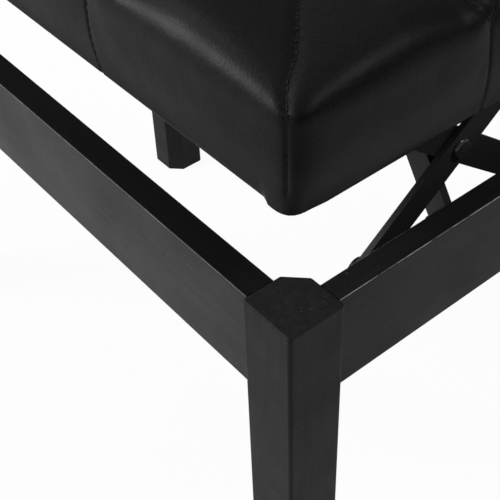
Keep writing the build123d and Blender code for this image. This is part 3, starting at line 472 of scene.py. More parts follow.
def bright_metal_material(name, colour, stretch, gloss):
    """Plated or turned metal with fine marks and patchy gloss."""
    material, tree, shader, place = start_material(name, specular=0.5, metallic=1.0)
    marks = grain(tree, place, stretch, scale=700.0)
    body = blend_colour(tree, spread(tree, marks, 0.3, 0.7), shade(colour, 0.72), shade(colour))
    link(tree, body, shader.inputs["Base Color"])
    link(tree, uneven_gloss(tree, place, scale=80.0, gloss=gloss), shader.inputs["Roughness"])
    add_bump(tree, shader, marks, strength=0.08, distance=0.0002)
    return material


def plastic_material():
    """Moulded matt black plastic."""
    material, tree, shader, place = start_material("moulded_plastic", specular=0.4)
    stipple = grain(tree, place, EVEN, scale=1200.0)
    link(tree, blend_colour(tree, spread(tree, stipple, 0.3, 0.7), *PLASTIC), shader.inputs["Base Color"])
    link(tree, uneven_gloss(tree, place, scale=60.0, gloss=(0.42, 0.56)), shader.inputs["Roughness"])
    add_bump(tree, shader, stipple, strength=0.18, distance=0.0003)
    return material


def plywood_material(name, colour, stretch):
    """Bare wood with bands of grain and dark fibres."""
    material, tree, shader, place = start_material(name, specular=0.25)
    bands = spread(tree, grain(tree, place, stretch, scale=60.0), 0.3, 0.7)
    fibres = grain(tree, place, stretch, scale=420.0)
    body = blend_colour(tree, bands, shade(colour, 0.8), shade(colour, 1.25))
    dark = spread(tree, fibres, 0.50, 0.72, most=0.6)
    link(tree, blend_colour(tree, dark, body, shade(colour, 0.45)), shader.inputs["Base Color"])
    shader.inputs["Roughness"].default_value = 0.72
    add_bump(tree, shader, fibres, strength=0.25, distance=0.0005)
    return material


def finish_nodes(material, *names):
    """Give CAD nodes their material."""
    for name in names:
        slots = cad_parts[name].data.materials
        slots.clear()
        slots.append(material)


def new_piece(name, points, faces, material, body):
    """Mesh object in the stool's frame that rides on a body."""
    mesh = bpy.data.meshes.new(name)
    mesh.from_pydata([tuple(point) for point in points], [], [tuple(face) for face in faces])
    mesh.update()
    mesh.materials.append(material)
    mesh.polygons.foreach_set("use_smooth", [True] * len(mesh.polygons))
    piece = bpy.data.objects.new(name, mesh)
    bpy.context.scene.collection.objects.link(piece)
    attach(piece, body)
    return piece


def pairs(*names):
    """Right and left names of mirrored nodes."""
    return [f"{side}_{name}" for name in names for side in ("right", "left")]


# Frame and lift
class STOOL_OT_frame(bpy.types.Operator):
    """Lacquer the legs and rails, and finish the dowels, the glides and the knob"""
    bl_idname = "stool.frame"
    bl_label = "Finish the frame"

    def execute(self, context):
        finish = context.scene.stool_finish
        # One black lacquer in three copies: their tops carry different amounts of painted shade, and their
        # arrises different strengths of the partly painted highlight line
        leg = lacquer_material("lacquer_leg", finish.lacquer, ALONG_Z, specular=0.063,
                               gloss=(0.44, 0.58), wear_and_highlight=0.03, matt_and_shaded_top=0.0)
        long_rail = lacquer_material("lacquer_long_rail", finish.lacquer, ALONG_X, specular=0.096,
                                     gloss=(0.34, 0.46), wear_and_highlight=0.16, matt_and_shaded_top=0.7)
        short_rail = lacquer_material("lacquer_short_rail", finish.lacquer, ALONG_Y, specular=0.056,
                                      gloss=(0.36, 0.48), wear_and_highlight=0.8, matt_and_shaded_top=0.2)
        wood = plywood_material("dowel_wood", finish.plywood, stretch=(0.1, 1.0, 1.0))
        finish_nodes(leg, "front_left_leg", "front_right_leg", "back_left_leg", "back_right_leg")
        finish_nodes(long_rail, "front_rail", "back_rail")
        finish_nodes(short_rail, "left_rail", "right_rail")
        finish_nodes(wood, "rail_dowels")
        finish_nodes(plastic_material(), "floor_glides", "height_knob")
        return {"FINISHED"}


class STOOL_OT_lift(bpy.types.Operator):
    """Coat the steel of the scissor lift and plate its pins and screws"""
    bl_idname = "stool.lift"
    bl_label = "Finish the lift"

    def execute(self, context):
        finish = context.scene.stool_finish
        coat = coated_steel_material("powder_coat", finish.powder_coat, specular=0.10, gloss=(0.34, 0.50))
        rubbed = coated_steel_material("rubbed_coat", finish.powder_coat, specular=0.50, gloss=(0.16, 0.26))
        zinc = bright_metal_material("zinc_plate", finish.zinc, EVEN, gloss=(0.28, 0.42))
        brass = bright_metal_material("turned_brass", BRASS, stretch=(1.0, 0.1, 0.1), gloss=(0.22, 0.36))
        finish_nodes(coat, "corner_plates", "centre_hanger",
                     *pairs("base_angle", "upper_angle", "outer_arm", "inner_arm", "strut", "drive_nut",
                            "lower_pivot_pin", "strut_foot_pin", "upper_pivot_pin"))
        finish_nodes(rubbed, *pairs("centre_rivet"))
        finish_nodes(zinc, "hanger_bolts", "corner_nuts", "corner_washers", "frame_screws", "deck_screws",
                     "seat_steel_screws", "screw_collars", "knob_grub_screw", "lead_screw",
                     *pairs("upper_slide_pin", "upper_spacer", "lower_slide_pin", "strut_head_pin"))
        finish_nodes(brass, "screw_bushes")
        return {"FINISHED"}


class STOOL_OT_seat_frame(bpy.types.Operator):
    """Finish the seat's bare boards and deck"""
    bl_idname = "stool.seat_frame"
    bl_label = "Finish the seat frame"

    def execute(self, context):
        colour = context.scene.stool_finish.plywood
        long_grain = plywood_material("plywood_long", colour, ALONG_X)
        short_grain = plywood_material("plywood_short", colour, ALONG_Y)
        finish_nodes(long_grain, "seat_deck", "seat_front_board", "seat_back_board")
        finish_nodes(short_grain, "seat_left_board", "seat_right_board")
        return {"FINISHED"}


# Cushion
def grid_place(i, j):
    """Plan of a point of the quilting grid."""
    return i * CELL_X - HALF_LONG, float(np.interp(j / CELLS, range(len(ROW_PLACES)), ROW_PLACES))


def crown_height(settings, x, y):
    """Height of the crown over the seat's lower edge."""
    return settings.crown - settings.crown_drop * ((x / HALF_LONG) ** 2 + (y / HALF_DEEP) ** 2)


def seam_share(i, j):
    """Distance from the nearest diagonal seam, from 0 on it to 1 in a diamond's middle."""
    along = i / CELLS
    across = j / CELLS
    first = abs((along + across) % 2 - 1)
    second = abs((along - across) % 2 - 1)
    return min(1 - first, 1 - second, 1.0)


def button_plans():
    """Plan of each button, where the diagonal seams cross."""
    found = []
    for column in range(1, HALVES_LONG):
        for row in range(1, HALVES_DEEP):
            if (column + row) % 2 == 0:
                found.append(grid_place(column * CELLS, row * CELLS))
    return found


def top_height(settings, i, j):
    """Height of the quilted top before it is blown up."""
    x, y = grid_place(i, j)
    pillow = settings.puff * (1 - (1 - seam_share(i, j)) ** PILLOW_POWER) - settings.puff / 2
    drawn = settings.tuft_depth - settings.puff / 2
    dip = 0.0
    for button_x, button_y in button_plans():
        away = math.hypot(x - button_x, y - button_y)
        dip += drawn * math.exp(-(away / TUFT_SPREAD) ** 2)
    return crown_height(settings, x, y) + pillow - dip


def side_inset(settings, height):
    """How far the side stands in from the seat's plan at a height, negative where it bulges."""
    if height < SIDE_FULL:
        return -settings.side_bulge * math.sin(math.pi / 2 * height / SIDE_FULL)
    rise = (1 - math.cos(math.pi * (height - SIDE_FULL) / (SIDE_TOP - SIDE_FULL))) / 2
    return -settings.side_bulge + (settings.side_bulge + SIDE_INSET) * rise


def ring_rows(settings):
    """Rows round the seat under the quilted top: (inset x, inset y, corner, kind, value)."""
    rows = []
    edge_x = EDGE * CELL_X - SIDE_INSET
    edge_y = HALF_DEEP + grid_place(EDGE, EDGE)[1] - SIDE_INSET
    for step, corner in enumerate(SHOULDER_CORNERS, 1):
        turn = math.pi / 2 * step / EDGE
        gap = 1 - math.sin(turn)
        fall = 1 - math.cos(turn)
        rows.append((SIDE_INSET + edge_x * gap, SIDE_INSET + edge_y * gap, corner, "shoulder", fall))
    for step in range(1, SIDE_ROWS):
        share = 1 - step / SIDE_ROWS
        inset = side_inset(settings, SIDE_TOP * share)
        rows.append((inset, inset, SIDE_CORNER, "side", share))
    for inset, height in LIP_ROWS:
        rows.append((inset, inset, max(SIDE_CORNER - inset, LIP_CORNER), "lip", height))
    return rows


def loop_places():
    """Grid places round the quilted top's edge, anticlockwise from the front left."""
    low_i, high_i = EDGE, LAST_I - EDGE
    low_j, high_j = EDGE, LAST_J - EDGE
    front = [(i, low_j) for i in range(low_i, high_i)]
    right = [(high_i, j) for j in range(low_j, high_j)]
    back = [(i, high_j) for i in range(high_i, low_i, -1)]
    left = [(low_i, j) for j in range(high_j, low_j, -1)]
    return front + right + back + left


def stretch_along(place, steady, reach, half):
    """Carry a point along a side so that the side's end reaches the seam at the corner."""
    size = abs(place)
    if size <= steady:
        return place
    return math.copysign(steady + (size - steady) * (half - steady) / (reach - steady), place)


def seam_moves(settings, kind, value):
    """How far a row's upright seams stand out on the long sides and forward on the short ones."""
    if kind == "shoulder":
        return -settings.seam_start * value, settings.seam_shift * value
    fall = math.sin(math.pi / 2 * (1 - value)) if kind == "side" else 1.0
    return (settings.seam_start + settings.seam_lean) * fall - settings.seam_start, settings.seam_shift


def round_corner(place, steady, reach, flat, corner, bend):
    """Carry a place along a side and into its corner: how far along it is, and how far back."""
    run = stretch_along(place, steady, reach, flat + corner * bend)
    turn = max(abs(run) - flat, 0) / corner
    along = math.copysign(min(abs(run), flat) + corner * math.sin(turn), run)
    return along, corner * (1 - math.cos(turn))


def ring_point(i, j, inset_x, inset_y, corner, lean, shift):
    """Plan of a loop place on a row of the given inset, corner radius and moves of the seams."""
    x, y = grid_place(i, j)
    end_x, end_y = grid_place(EDGE, EDGE)
    half_x = HALF_LONG - inset_x
    half_y = HALF_DEEP - inset_y
    if j in (EDGE, LAST_J - EDGE):
        steady = -grid_place(CELLS, EDGE)[0]
        moved = x
        if abs(x) < steady:
            moved += math.copysign(lean * math.sin(math.pi * abs(x) / steady), x)
        along, back = round_corner(moved, steady, -end_x, half_x - corner, corner, CORNER_SEAM)
        return along, math.copysign(half_y - back, y)
    steady = -ROW_PLACES[1]
    moved = y
    if abs(y) < steady:
        moved -= shift * math.cos(math.pi / 2 * y / steady)
    along, back = round_corner(moved, steady, -end_y, half_y - corner, corner, math.pi / 2 - CORNER_SEAM)
    return math.copysign(half_x - back, x), along


class CushionGrid:
    """Structured mesh of the seat cover, with the seams along its vertices."""

    def __init__(self, settings):
        self.points = []
        self.faces = []
        self.top = {}
        self.rings = []
        self.loop = loop_places()
        self.loop_index = {place: number for number, place in enumerate(self.loop)}
        self.add_top(settings)
        self.add_rings(settings)

    def add_top(self, settings):
        """Quilted top."""
        for j in range(EDGE, LAST_J - EDGE + 1):
            for i in range(EDGE, LAST_I - EDGE + 1):
                x, y = grid_place(i, j)
                self.top[i, j] = len(self.points)
                self.points.append((x, y, SEAT_FOOT + top_height(settings, i, j)))
        for j in range(EDGE, LAST_J - EDGE):
            for i in range(EDGE, LAST_I - EDGE):
                a, b = self.top[i, j], self.top[i + 1, j]
                c, d = self.top[i + 1, j + 1], self.top[i, j + 1]
                if (i // CELLS + j // CELLS) % 2 == 0 and i % CELLS == j % CELLS:
                    self.faces += [(a, b, c), (a, c, d)]
                elif (i // CELLS + j // CELLS) % 2 == 1 and i % CELLS == CELLS - 1 - j % CELLS:
                    self.faces += [(a, b, d), (b, c, d)]
                else:
                    self.faces.append((a, b, c, d))

    def shoulder_height(self, settings, i, j, x, y, fall):
        """Height of a point on the shoulder, where the quilting of the top's edge dies out."""
        quilt = self.points[self.top[i, j]][2] - SEAT_FOOT - crown_height(settings, *grid_place(i, j))
        return crown_height(settings, x, y) - settings.shoulder_fall * fall + quilt * (1 - fall) ** 0.5

    def add_rings(self, settings):
        """Shoulder, sides and turned-under lip."""
        last = [self.top[place] for place in self.loop]
        edge_z = []
        for inset_x, inset_y, corner, kind, value in ring_rows(settings):
            lean, shift = seam_moves(settings, kind, value)
            ring = []
            for number, (i, j) in enumerate(self.loop):
                x, y = ring_point(i, j, inset_x, inset_y, corner, lean, shift)
                if kind == "shoulder":
                    z = self.shoulder_height(settings, i, j, x, y, value)
                elif kind == "side":
                    z = edge_z[number] * value
                else:
                    z = value
                ring.append(len(self.points))
                self.points.append((x, y, SEAT_FOOT + z))
            if kind == "shoulder":
                edge_z = [self.points[index][2] - SEAT_FOOT for index in ring]
            for number in range(len(ring)):
                after = (number + 1) % len(ring)
                self.faces.append((last[number], ring[number], ring[after], last[after]))
            self.rings.append(ring)
            last = ring

    def vertex(self, i, j):
        """Vertex of a grid place, on the top or, near the edge, on the shoulder."""
        if (i, j) in self.top:
            return self.top[i, j]
        outside = max(EDGE - i, i - LAST_I + EDGE, EDGE - j, j - LAST_J + EDGE)
        near = (min(max(i, EDGE), LAST_I - EDGE), min(max(j, EDGE), LAST_J - EDGE))
        return self.rings[outside - 1][self.loop_index[near]]

    def top_seams(self):
        """Vertex runs of the diagonal seams."""
        runs = []
        for column in range(HALVES_LONG):
            for row in range(HALVES_DEEP):
                rising = (column + row) % 2 == 0
                run = []
                for step in range(CELLS + 1):
                    j = row * CELLS + (step if rising else CELLS - step)
                    run.append(self.vertex(column * CELLS + step, j))
                runs.append(run)
        return runs

    def side_seams(self):
        """Vertex runs of the upright seams, from the shoulder to the lip."""
        ends = [(EDGE, EDGE), (LAST_I - EDGE, EDGE), (LAST_I - EDGE, LAST_J - EDGE), (EDGE, LAST_J - EDGE)]
        for column in range(2, HALVES_LONG, 2):
            ends += [(column * CELLS, EDGE), (column * CELLS, LAST_J - EDGE)]
        for row in range(2, HALVES_DEEP, 2):
            ends += [(EDGE, row * CELLS), (LAST_I - EDGE, row * CELLS)]
        sewn_rings = self.rings[EDGE - 1:-LIP_UNSEWN]
        return [[ring[self.loop_index[end]] for ring in sewn_rings] for end in ends]


# Holds while the cushion is blown up: shares for the seams, and the radius held round a button
TOP_SEAM_HOLD = 0.55
SIDE_SEAM_HOLD = 0.8
BUTTON_HOLD = 0.011

# Frames and pressure of the cloth's run
CLOTH_FRAMES = 20
CLOTH_PRESSURE = 4.0

# Most that the cloth may move on the top and the sides, growing along a rise from a start over the foot
TOP_CAP = 0.004
SIDE_CAP = 0.0012
CAP_START = 0.004
CAP_RISE = 0.050

# Shortest move of the cloth that is measured
SHORTEST_MOVE = 1e-9


def pin_weights(grid):
    """How firmly each point is held while the cushion is blown up."""
    weights = np.zeros(len(grid.points))
    for run in grid.top_seams():
        weights[run] = TOP_SEAM_HOLD
    for run in grid.side_seams():
        weights[run] = SIDE_SEAM_HOLD
    places = np.array(grid.points)
    on_top = places[:, 2] > SEAT_FOOT + TOP_START
    for x, y in button_plans():
        away = np.hypot(places[:, 0] - x, places[:, 1] - y)
        weights[on_top & (away < BUTTON_HOLD)] = 1.0
    for ring in grid.rings[-len(LIP_ROWS) - 1:]:
        weights[ring] = 1.0
    return weights


def read_points(mesh):
    """All points of a mesh as an array."""
    flat = np.empty(len(mesh.vertices) * 3)
    mesh.vertices.foreach_get("co", flat)
    return flat.reshape(-1, 3)


def set_points(mesh, points):
    """Write all points of a mesh."""
    mesh.vertices.foreach_set("co", np.asarray(points, dtype=np.float32).ravel())
    mesh.update()


def blow_up(piece, weights):
    """Run the cloth with pressure inside and return the points it reaches."""
    group = piece.vertex_groups.new(name="held")
    for value in np.unique(weights[weights > 0]):
        group.add([int(index) for index in np.flatnonzero(weights == value)], float(value), "REPLACE")
    cloth = piece.modifiers.new("vinyl", "CLOTH")
    cloth.settings.quality = 6
    cloth.settings.mass = 0.15
    cloth.settings.tension_stiffness = 12
    cloth.settings.compression_stiffness = 12
    cloth.settings.shear_stiffness = 4
    cloth.settings.bending_stiffness = 0.4
    cloth.settings.use_pressure = True
    cloth.settings.uniform_pressure_force = CLOTH_PRESSURE
    cloth.settings.vertex_group_mass = group.name
    cloth.settings.pin_stiffness = 1.0
    cloth.settings.effector_weights.gravity = 0
    cloth.collision_settings.use_collision = False
    cloth.point_cache.frame_start = 1
    cloth.point_cache.frame_end = CLOTH_FRAMES
    scene = bpy.context.scene
    for number in range(1, CLOTH_FRAMES + 1):
        scene.frame_set(number)
    reached = read_points(piece.evaluated_get(bpy.context.evaluated_depsgraph_get()).data)
    piece.modifiers.remove(cloth)
    scene.frame_set(1)
    piece.vertex_groups.remove(group)
    return reached


def limit_moves(rest, reached):
    """Cap how far the cloth moved: less on the sides, nothing at the foot."""
    moves = reached - rest
    lengths = np.linalg.norm(moves, axis=1)
    share = np.clip((rest[:, 2] - SEAT_FOOT - CAP_START) / CAP_RISE, 0, 1)
    caps = np.where(rest[:, 2] > SEAT_FOOT + SIDE_TOP, TOP_CAP, SIDE_CAP) * share
    kept = np.minimum(1, caps / np.maximum(lengths, SHORTEST_MOVE))
    return rest + moves * kept[:, None]


def apply_modifiers(piece):
    """Keep the evaluated mesh and drop the modifiers."""
    shaped = bpy.data.meshes.new_from_object(piece.evaluated_get(bpy.context.evaluated_depsgraph_get()))
    piece.modifiers.clear()
    old = piece.data
    piece.data = shaped
    bpy.data.meshes.remove(old)


def refine(piece):
    """Subdivide a piece once and keep the result."""
    subdivision = piece.modifiers.new("smooth", "SUBSURF")
    subdivision.levels = 1
    subdivision.render_levels = 1
    apply_modifiers(piece)


def smooth_line(points, spacing):
    """Points at an even spacing along a polyline."""
    points = np.asarray(points)
    lengths = np.linalg.norm(np.diff(points, axis=0), axis=1)
    run = np.concatenate([[0], np.cumsum(lengths)])
    count = max(int(run[-1] / spacing), 2)
    wanted = np.linspace(0, run[-1], count + 1)
    return np.stack([np.interp(wanted, run, points[:, axis]) for axis in range(3)], axis=1)


# Creases: spacing of their points, soft and sharp width, reach in widths, and pull of a stitch in depths
CREASE_SPACING = 0.0008
SOFT_CREASE = 0.0034
SHARP_CREASE = 0.0007
CREASE_REACH = 4
STITCH_PULL = 0.25

# Width of the mesh laid along a seam, and the weight over which a point is sewn
SEAM_STRIP = 0.0009
SEWN_WEIGHT = 0.99

# Gathers round a button: distance out, width, height, number, and turn from one button to the next
GATHER_PLACE = 0.017
GATHER_WIDTH = 0.009
GATHER_HEIGHT = 0.0005
GATHERS = 11
GATHER_TURN = 1.7

# Vinyl folded round a lower corner: height, reach, start and length of its slopes, and its moves out and in
FOLD_HEIGHT = 0.022
FOLD_REACH = 0.026
LONG_SLOPE = (0.024, 0.007)
SHORT_SLOPE = (0.022, 0.006)
FOLD_OUT = 0.0028
FOLD_IN = 0.0010

# Ripples of the vinyl: start over the foot, then pace and height of the slow and the quick ones
RIPPLE_START = 0.004
RIPPLES = ((22.0, 0.0006), (75.0, 0.00016))


def crease(mesh, lines, settings, width):
    """Press the sewn creases into the cover and draw the vinyl up beside them at each stitch."""
    depth = settings.seam_depth
    dots = np.concatenate([smooth_line(line, CREASE_SPACING) for line in lines])
    tree = kdtree.KDTree(len(dots))
    for number, dot in enumerate(dots):
        tree.insert(dot, number)
    tree.balance()
    normals = [vertex.normal.copy() for vertex in mesh.vertices]
    for vertex, normal in zip(mesh.vertices, normals):
        number, away = tree.find(vertex.co)[1:]
        if away < CREASE_REACH * width:
            share = away / width
            wave = math.sin(2 * math.pi * number * CREASE_SPACING / settings.stitch_pitch)
            gather = STITCH_PULL * depth * wave * math.exp(-(share - 1) ** 2)
            vertex.co -= normal * (depth * math.exp(-share ** 2) - gather)
    mesh.update()


def mark_seams(piece, grid):
    """Keep the sewn points in a vertex group."""
    runs = grid.top_seams() + grid.side_seams()
    sewn = sorted({index for run in runs for index in run})
    piece.vertex_groups.new(name="sewn").add(sewn, 1.0, "REPLACE")


def split_seams(piece):
    """Lay a narrow row of mesh on both sides of every seam, so that the crease can be sharp."""
    mesh = piece.data
    work = bmesh.new()
    work.from_mesh(mesh)
    layer = work.verts.layers.deform.active
    number = piece.vertex_groups["sewn"].index
    sewn = {vertex for vertex in work.verts if vertex[layer].get(number, 0) > SEWN_WEIGHT}
    seams = [edge for edge in work.edges if edge.verts[0] in sewn and edge.verts[1] in sewn]
    bmesh.ops.bevel(work, geom=seams, offset=SEAM_STRIP, segments=2, profile=0.5, affect="EDGES",
                    clamp_overlap=True)
    work.to_mesh(mesh)
    work.free()
    piece.vertex_groups.clear()
    mesh.polygons.foreach_set("use_smooth", [True] * len(mesh.polygons))
    mesh.update()


def slope(value, start, length):
    """Rise from 0 at the start of a slope to 1 at its end, towards smaller values."""
    return min(max((start - value) / length, 0), 1)


def button_gather(x, y):
    """How far the vinyl is drawn up by the gathers round the buttons."""
    lift = 0.0
    for number, (button_x, button_y) in enumerate(button_plans()):
        away = math.hypot(x - button_x, y - button_y)
        turn = math.atan2(y - button_y, x - button_x)
        ring = math.exp(-((away - GATHER_PLACE) / GATHER_WIDTH) ** 2)
        lift += GATHER_HEIGHT * ring * math.cos(GATHERS * turn + GATHER_TURN * number)
    return lift


def corner_fold(x, y, height):
    """How far a point belongs to the vinyl folded round a lower corner, from 0 to 1."""
    from_end = HALF_LONG - abs(x)
    from_front = HALF_DEEP - abs(y)
    if height >= FOLD_HEIGHT or max(from_end, from_front) >= FOLD_REACH:
        return 0.0
    low = 1 - max(height, 0) / FOLD_HEIGHT
    along = slope(from_end, *LONG_SLOPE) if from_front < from_end else slope(from_front, *SHORT_SLOPE)
    return low * low * (3 - 2 * low) * along


def pleat(mesh):
    """Radial gathers round the buttons and folded vinyl at the lower corners."""
    for vertex in mesh.vertices:
        x, y, z = vertex.co
        height = z - SEAT_FOOT
        fold = corner_fold(x, y, height)
        rise = button_gather(x, y) if height > TOP_START else 0.0
        vertex.co += Vector((-math.copysign(FOLD_IN * fold, x), math.copysign(FOLD_OUT * fold, y), rise))
    mesh.update()


def ripple(mesh):
    """Slight unevenness of hand-stretched vinyl."""
    normals = [vertex.normal.copy() for vertex in mesh.vertices]
    for vertex, normal in zip(mesh.vertices, normals):
        if vertex.co.z > SEAT_FOOT + RIPPLE_START:
            wave = sum(noise.noise(vertex.co * pace) * height for pace, height in RIPPLES)
            vertex.co += normal * wave
    mesh.update()


class STOOL_OT_cushion(bpy.types.Operator):
    """Make the tufted vinyl seat: quilted form, blown up as cloth, then creased along its seams"""
    bl_idname = "stool.cushion"
    bl_label = "Make the cushion"

    def execute(self, context):
        settings = context.scene.stool_cushion
        vinyl = vinyl_material(context.scene.stool_finish.vinyl)
        grid = CushionGrid(settings)
        piece = new_piece("seat_cushion", grid.points, grid.faces, vinyl, "seat")
        reached = blow_up(piece, pin_weights(grid))
        set_points(piece.data, limit_moves(np.array(grid.points), reached))
        mark_seams(piece, grid)
        refine(piece)
        points = read_points(piece.data)
        top_lines = [points[run] for run in grid.top_seams()]
        side_lines = [points[run] for run in grid.side_seams()]
        split_seams(piece)
        pleat(piece.data)
        ripple(piece.data)
        crease(piece.data, top_lines, settings, SOFT_CREASE)
        crease(piece.data, top_lines + side_lines, settings, SHARP_CREASE)
        surface = BVHTree.FromObject(piece, context.evaluated_depsgraph_get())
        shell = piece.modifiers.new("thickness", "SOLIDIFY")
        shell.thickness = settings.skin
        shell.offset = -1
        apply_modifiers(piece)
        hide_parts("seat_cover", "seat_foam")
        make_stitches(settings, surface, top_lines)
        return {"FINISHED"}


# Shapes that repeat
def tube_faces(rows, around):
    """Faces of a closed tube made of equal rows."""
    faces = []
    for row in range(rows - 1):
        for step in range(around):
            after = (step + 1) % around
            low = row * around
            faces.append((low + step, low + after, low + around + after, low + around + step))
    faces.append(tuple(reversed(range(around))))
    faces.append(tuple(range((rows - 1) * around, rows * around)))
    return faces


def capsule(length, radius, around=8, rounds=3, tip=0.08):
    """Round bar along X with rounded ends, as points and faces; its tip is a small share of its radius."""
    turns = [math.pi / 2 * step / rounds for step in range(rounds + 1)]
    profile = [(-length / 2 + radius * (1 - math.cos(turn)), radius * math.sin(turn)) for turn in turns]
    profile += [(-place, size) for place, size in reversed(profile)]
    points = []
    for place, size in profile:
        size = max(size, radius * tip)
        for step in range(around):
            turn = 2 * math.pi * step / around
            points.append((place, size * math.cos(turn), size * math.sin(turn)))
    return np.array(points), tube_faces(len(profile), around)


def add_copy(points, faces, shape, axes, place):
    """Add a copy of a shape to a mesh in the making, turned to the axes and put in its place."""
    shape_points, shape_faces = shape
    first = len(points)
    points.extend(shape_points @ axes.T + np.array(place))
    faces.extend(tuple(index + first for index in face) for face in shape_faces)


# Stitches: length and radius of the thread, how high it lies over the crease, and its room round a button
STITCH_LENGTH = 0.0036
STITCH_RADIUS = 0.00042
STITCH_LIFT = 0.0001
STITCH_ROOM = 0.0105


def make_stitches(settings, surface, lines):
    """Sew the diagonal seams with separate stitches that lie in the crease."""
    stitch = capsule(STITCH_LENGTH, STITCH_RADIUS)
    buttons = button_plans()
    points = []
    faces = []
    for line in lines:
        dots = smooth_line(line, settings.stitch_pitch)
        for before, after in zip(dots[:-1], dots[1:]):
            middle = Vector((before + after) / 2)
            if min(math.hypot(middle.x - x, middle.y - y) for x, y in buttons) < STITCH_ROOM:
                continue
            place, normal = surface.find_nearest(middle)[:2]
            along = (Vector(after) - Vector(before)).normalized()
            across = normal.cross(along).normalized()
            along = across.cross(normal).normalized()
            axes = np.array([along, across, normal]).T
            add_copy(points, faces, stitch, axes, place + normal * STITCH_LIFT)
    new_piece("seam_stitches", points, faces, thread_material(), "seat")


# Thread of the lead screw: travel in a turn, depth, start from the middle, and stop short of the bush's end
THREAD_LEAD = 0.004
THREAD_DEPTH = 0.0010
THREAD_START = 0.034
THREAD_STOP = 0.012

# Half a groove and its flank as shares of a turn, and the thread's mesh
GROOVE_HALF = 0.3
GROOVE_FLANK = 0.2
THREAD_SLICES = 8
THREAD_SIDES = 24


class STOOL_OT_lead_screw(bpy.types.Operator):
    """Cut the lead screw's thread, left-handed on the left half and right-handed on the right half"""
    bl_idname = "stool.lead_screw"
    bl_label = "Cut the lead screw"

    def execute(self, context):
        low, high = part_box("lead_screw")
        middle = (low + high) / 2
        crest = (high.z - low.z) / 2
        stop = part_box("screw_bushes")[1].x - THREAD_STOP
        places = np.append(np.arange(low.x, high.x, THREAD_LEAD / THREAD_SLICES), high.x)[:, None]
        turns = 2 * np.pi * np.arange(THREAD_SIDES) / THREAD_SIDES
        phase = (places / THREAD_LEAD - np.sign(places) * turns / (2 * np.pi)) % 1
        groove = np.clip((GROOVE_HALF - np.abs(phase - 0.5)) / GROOVE_FLANK, 0, 1)
        threaded = (np.abs(places) > THREAD_START) & (np.abs(places) < stop)
        radii = crest - np.where(threaded, THREAD_DEPTH * groove, 0)
        along = np.broadcast_to(places, radii.shape)
        across = middle.y + radii * np.cos(turns)
        up = middle.z + radii * np.sin(turns)
        points = np.stack([along, across, up], axis=2).reshape(-1, 3)
        piece = new_piece("threaded_screw", points, tube_faces(len(places), THREAD_SIDES),
                          bpy.data.materials["zinc_plate"], "screw")
        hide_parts("lead_screw")
        return {"FINISHED"}


# Staples: inset, pitch, length, wire radius, free length of a side, depth in the vinyl and uneven lean
STAPLE_INSET = 0.0075
STAPLE_PITCH = 0.034
STAPLE_LENGTH = 0.0105
STAPLE_RADIUS = 0.00045
STAPLE_FREE = 0.04
STAPLE_DEPTH = 0.0002
STAPLE_LEAN = 0.25
STAPLE_PACE = 1.7


class STOOL_OT_staples(bpy.types.Operator):
    """Staple the cover's lip under the seat boards"""
    bl_idname = "stool.staples"
    bl_label = "Staple the lip"

    def execute(self, context):
        half_x = HALF_LONG - STAPLE_INSET
        half_y = HALF_DEEP - STAPLE_INSET
        corners = [Vector((x * half_x, y * half_y)) for x, y in ((-1, -1), (1, -1), (1, 1), (-1, 1))]
        staple = capsule(STAPLE_LENGTH, STAPLE_RADIUS)
        points = []
        faces = []
        number = 0
        for start, end in zip(corners, corners[1:] + corners[:1]):
            side = end - start
            count = int((side.length - STAPLE_FREE) / STAPLE_PITCH)
            for step in range(count + 1):
                number += 1
                place = start.lerp(end, 0.5 + (step - count / 2) * STAPLE_PITCH / side.length)
                uneven = STAPLE_LEAN * noise.noise((number * STAPLE_PACE, 0, 0))
                axes = np.array(Matrix.Rotation(math.atan2(side.y, side.x) + uneven, 3, "Z"))
                add_copy(points, faces, staple, axes, (place.x, place.y, SEAT_FOOT - STAPLE_DEPTH))
        new_piece("lip_staples", points, faces, bpy.data.materials["zinc_plate"], "seat")
        return {"FINISHED"}


# Button from its foot to its crown as shares of its radius and heights, and its stand over the tuft's bottom
BUTTON_OUTLINE = (
    (0.30, 0.0002), (0.86, 0.0000), (0.97, 0.0008), (1.0, 0.0020), (0.985, 0.0032),
    (0.93, 0.0043), (0.82, 0.0052), (0.64, 0.0059), (0.42, 0.0063), (0.2, 0.0065))
BUTTON_STAND = 0.0012

# Cover of a button: mesh sides, and number, height and inner rim of its gathers as shares of the radius
BUTTON_SIDES = 40
BUTTON_GATHERS = 14
BUTTON_GATHER = 0.012
BUTTON_RIM = 0.8


def covered_button():
    """Button with its gathered cover, standing on the origin, as points and faces."""
    points = []
    for share, height in BUTTON_OUTLINE:
        gather = BUTTON_GATHER if share > BUTTON_RIM else 0.0
        for step in range(BUTTON_SIDES):
            turn = 2 * math.pi * step / BUTTON_SIDES
            size = BUTTON_RADIUS * share * (1 + gather * math.cos(BUTTON_GATHERS * turn))
            points.append((size * math.cos(turn), size * math.sin(turn), height))
    return np.array(points), tube_faces(len(BUTTON_OUTLINE), BUTTON_SIDES)


class STOOL_OT_buttons(bpy.types.Operator):
    """Make the vinyl-covered tuft buttons"""
    bl_idname = "stool.buttons"
    bl_label = "Make the buttons"

    def execute(self, context):
        settings = context.scene.stool_cushion
        button = covered_button()
        points = []
        faces = []
        for x, y in button_plans():
            foot = SEAT_FOOT + crown_height(settings, x, y) - settings.tuft_depth + BUTTON_STAND
            add_copy(points, faces, button, np.eye(3), (x, y, foot))
        vinyl = bpy.data.materials["black_vinyl"]
        piece = new_piece("covered_buttons", points, faces, vinyl, "seat")
        refine(piece)
        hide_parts("tuft_buttons")
        return {"FINISHED"}


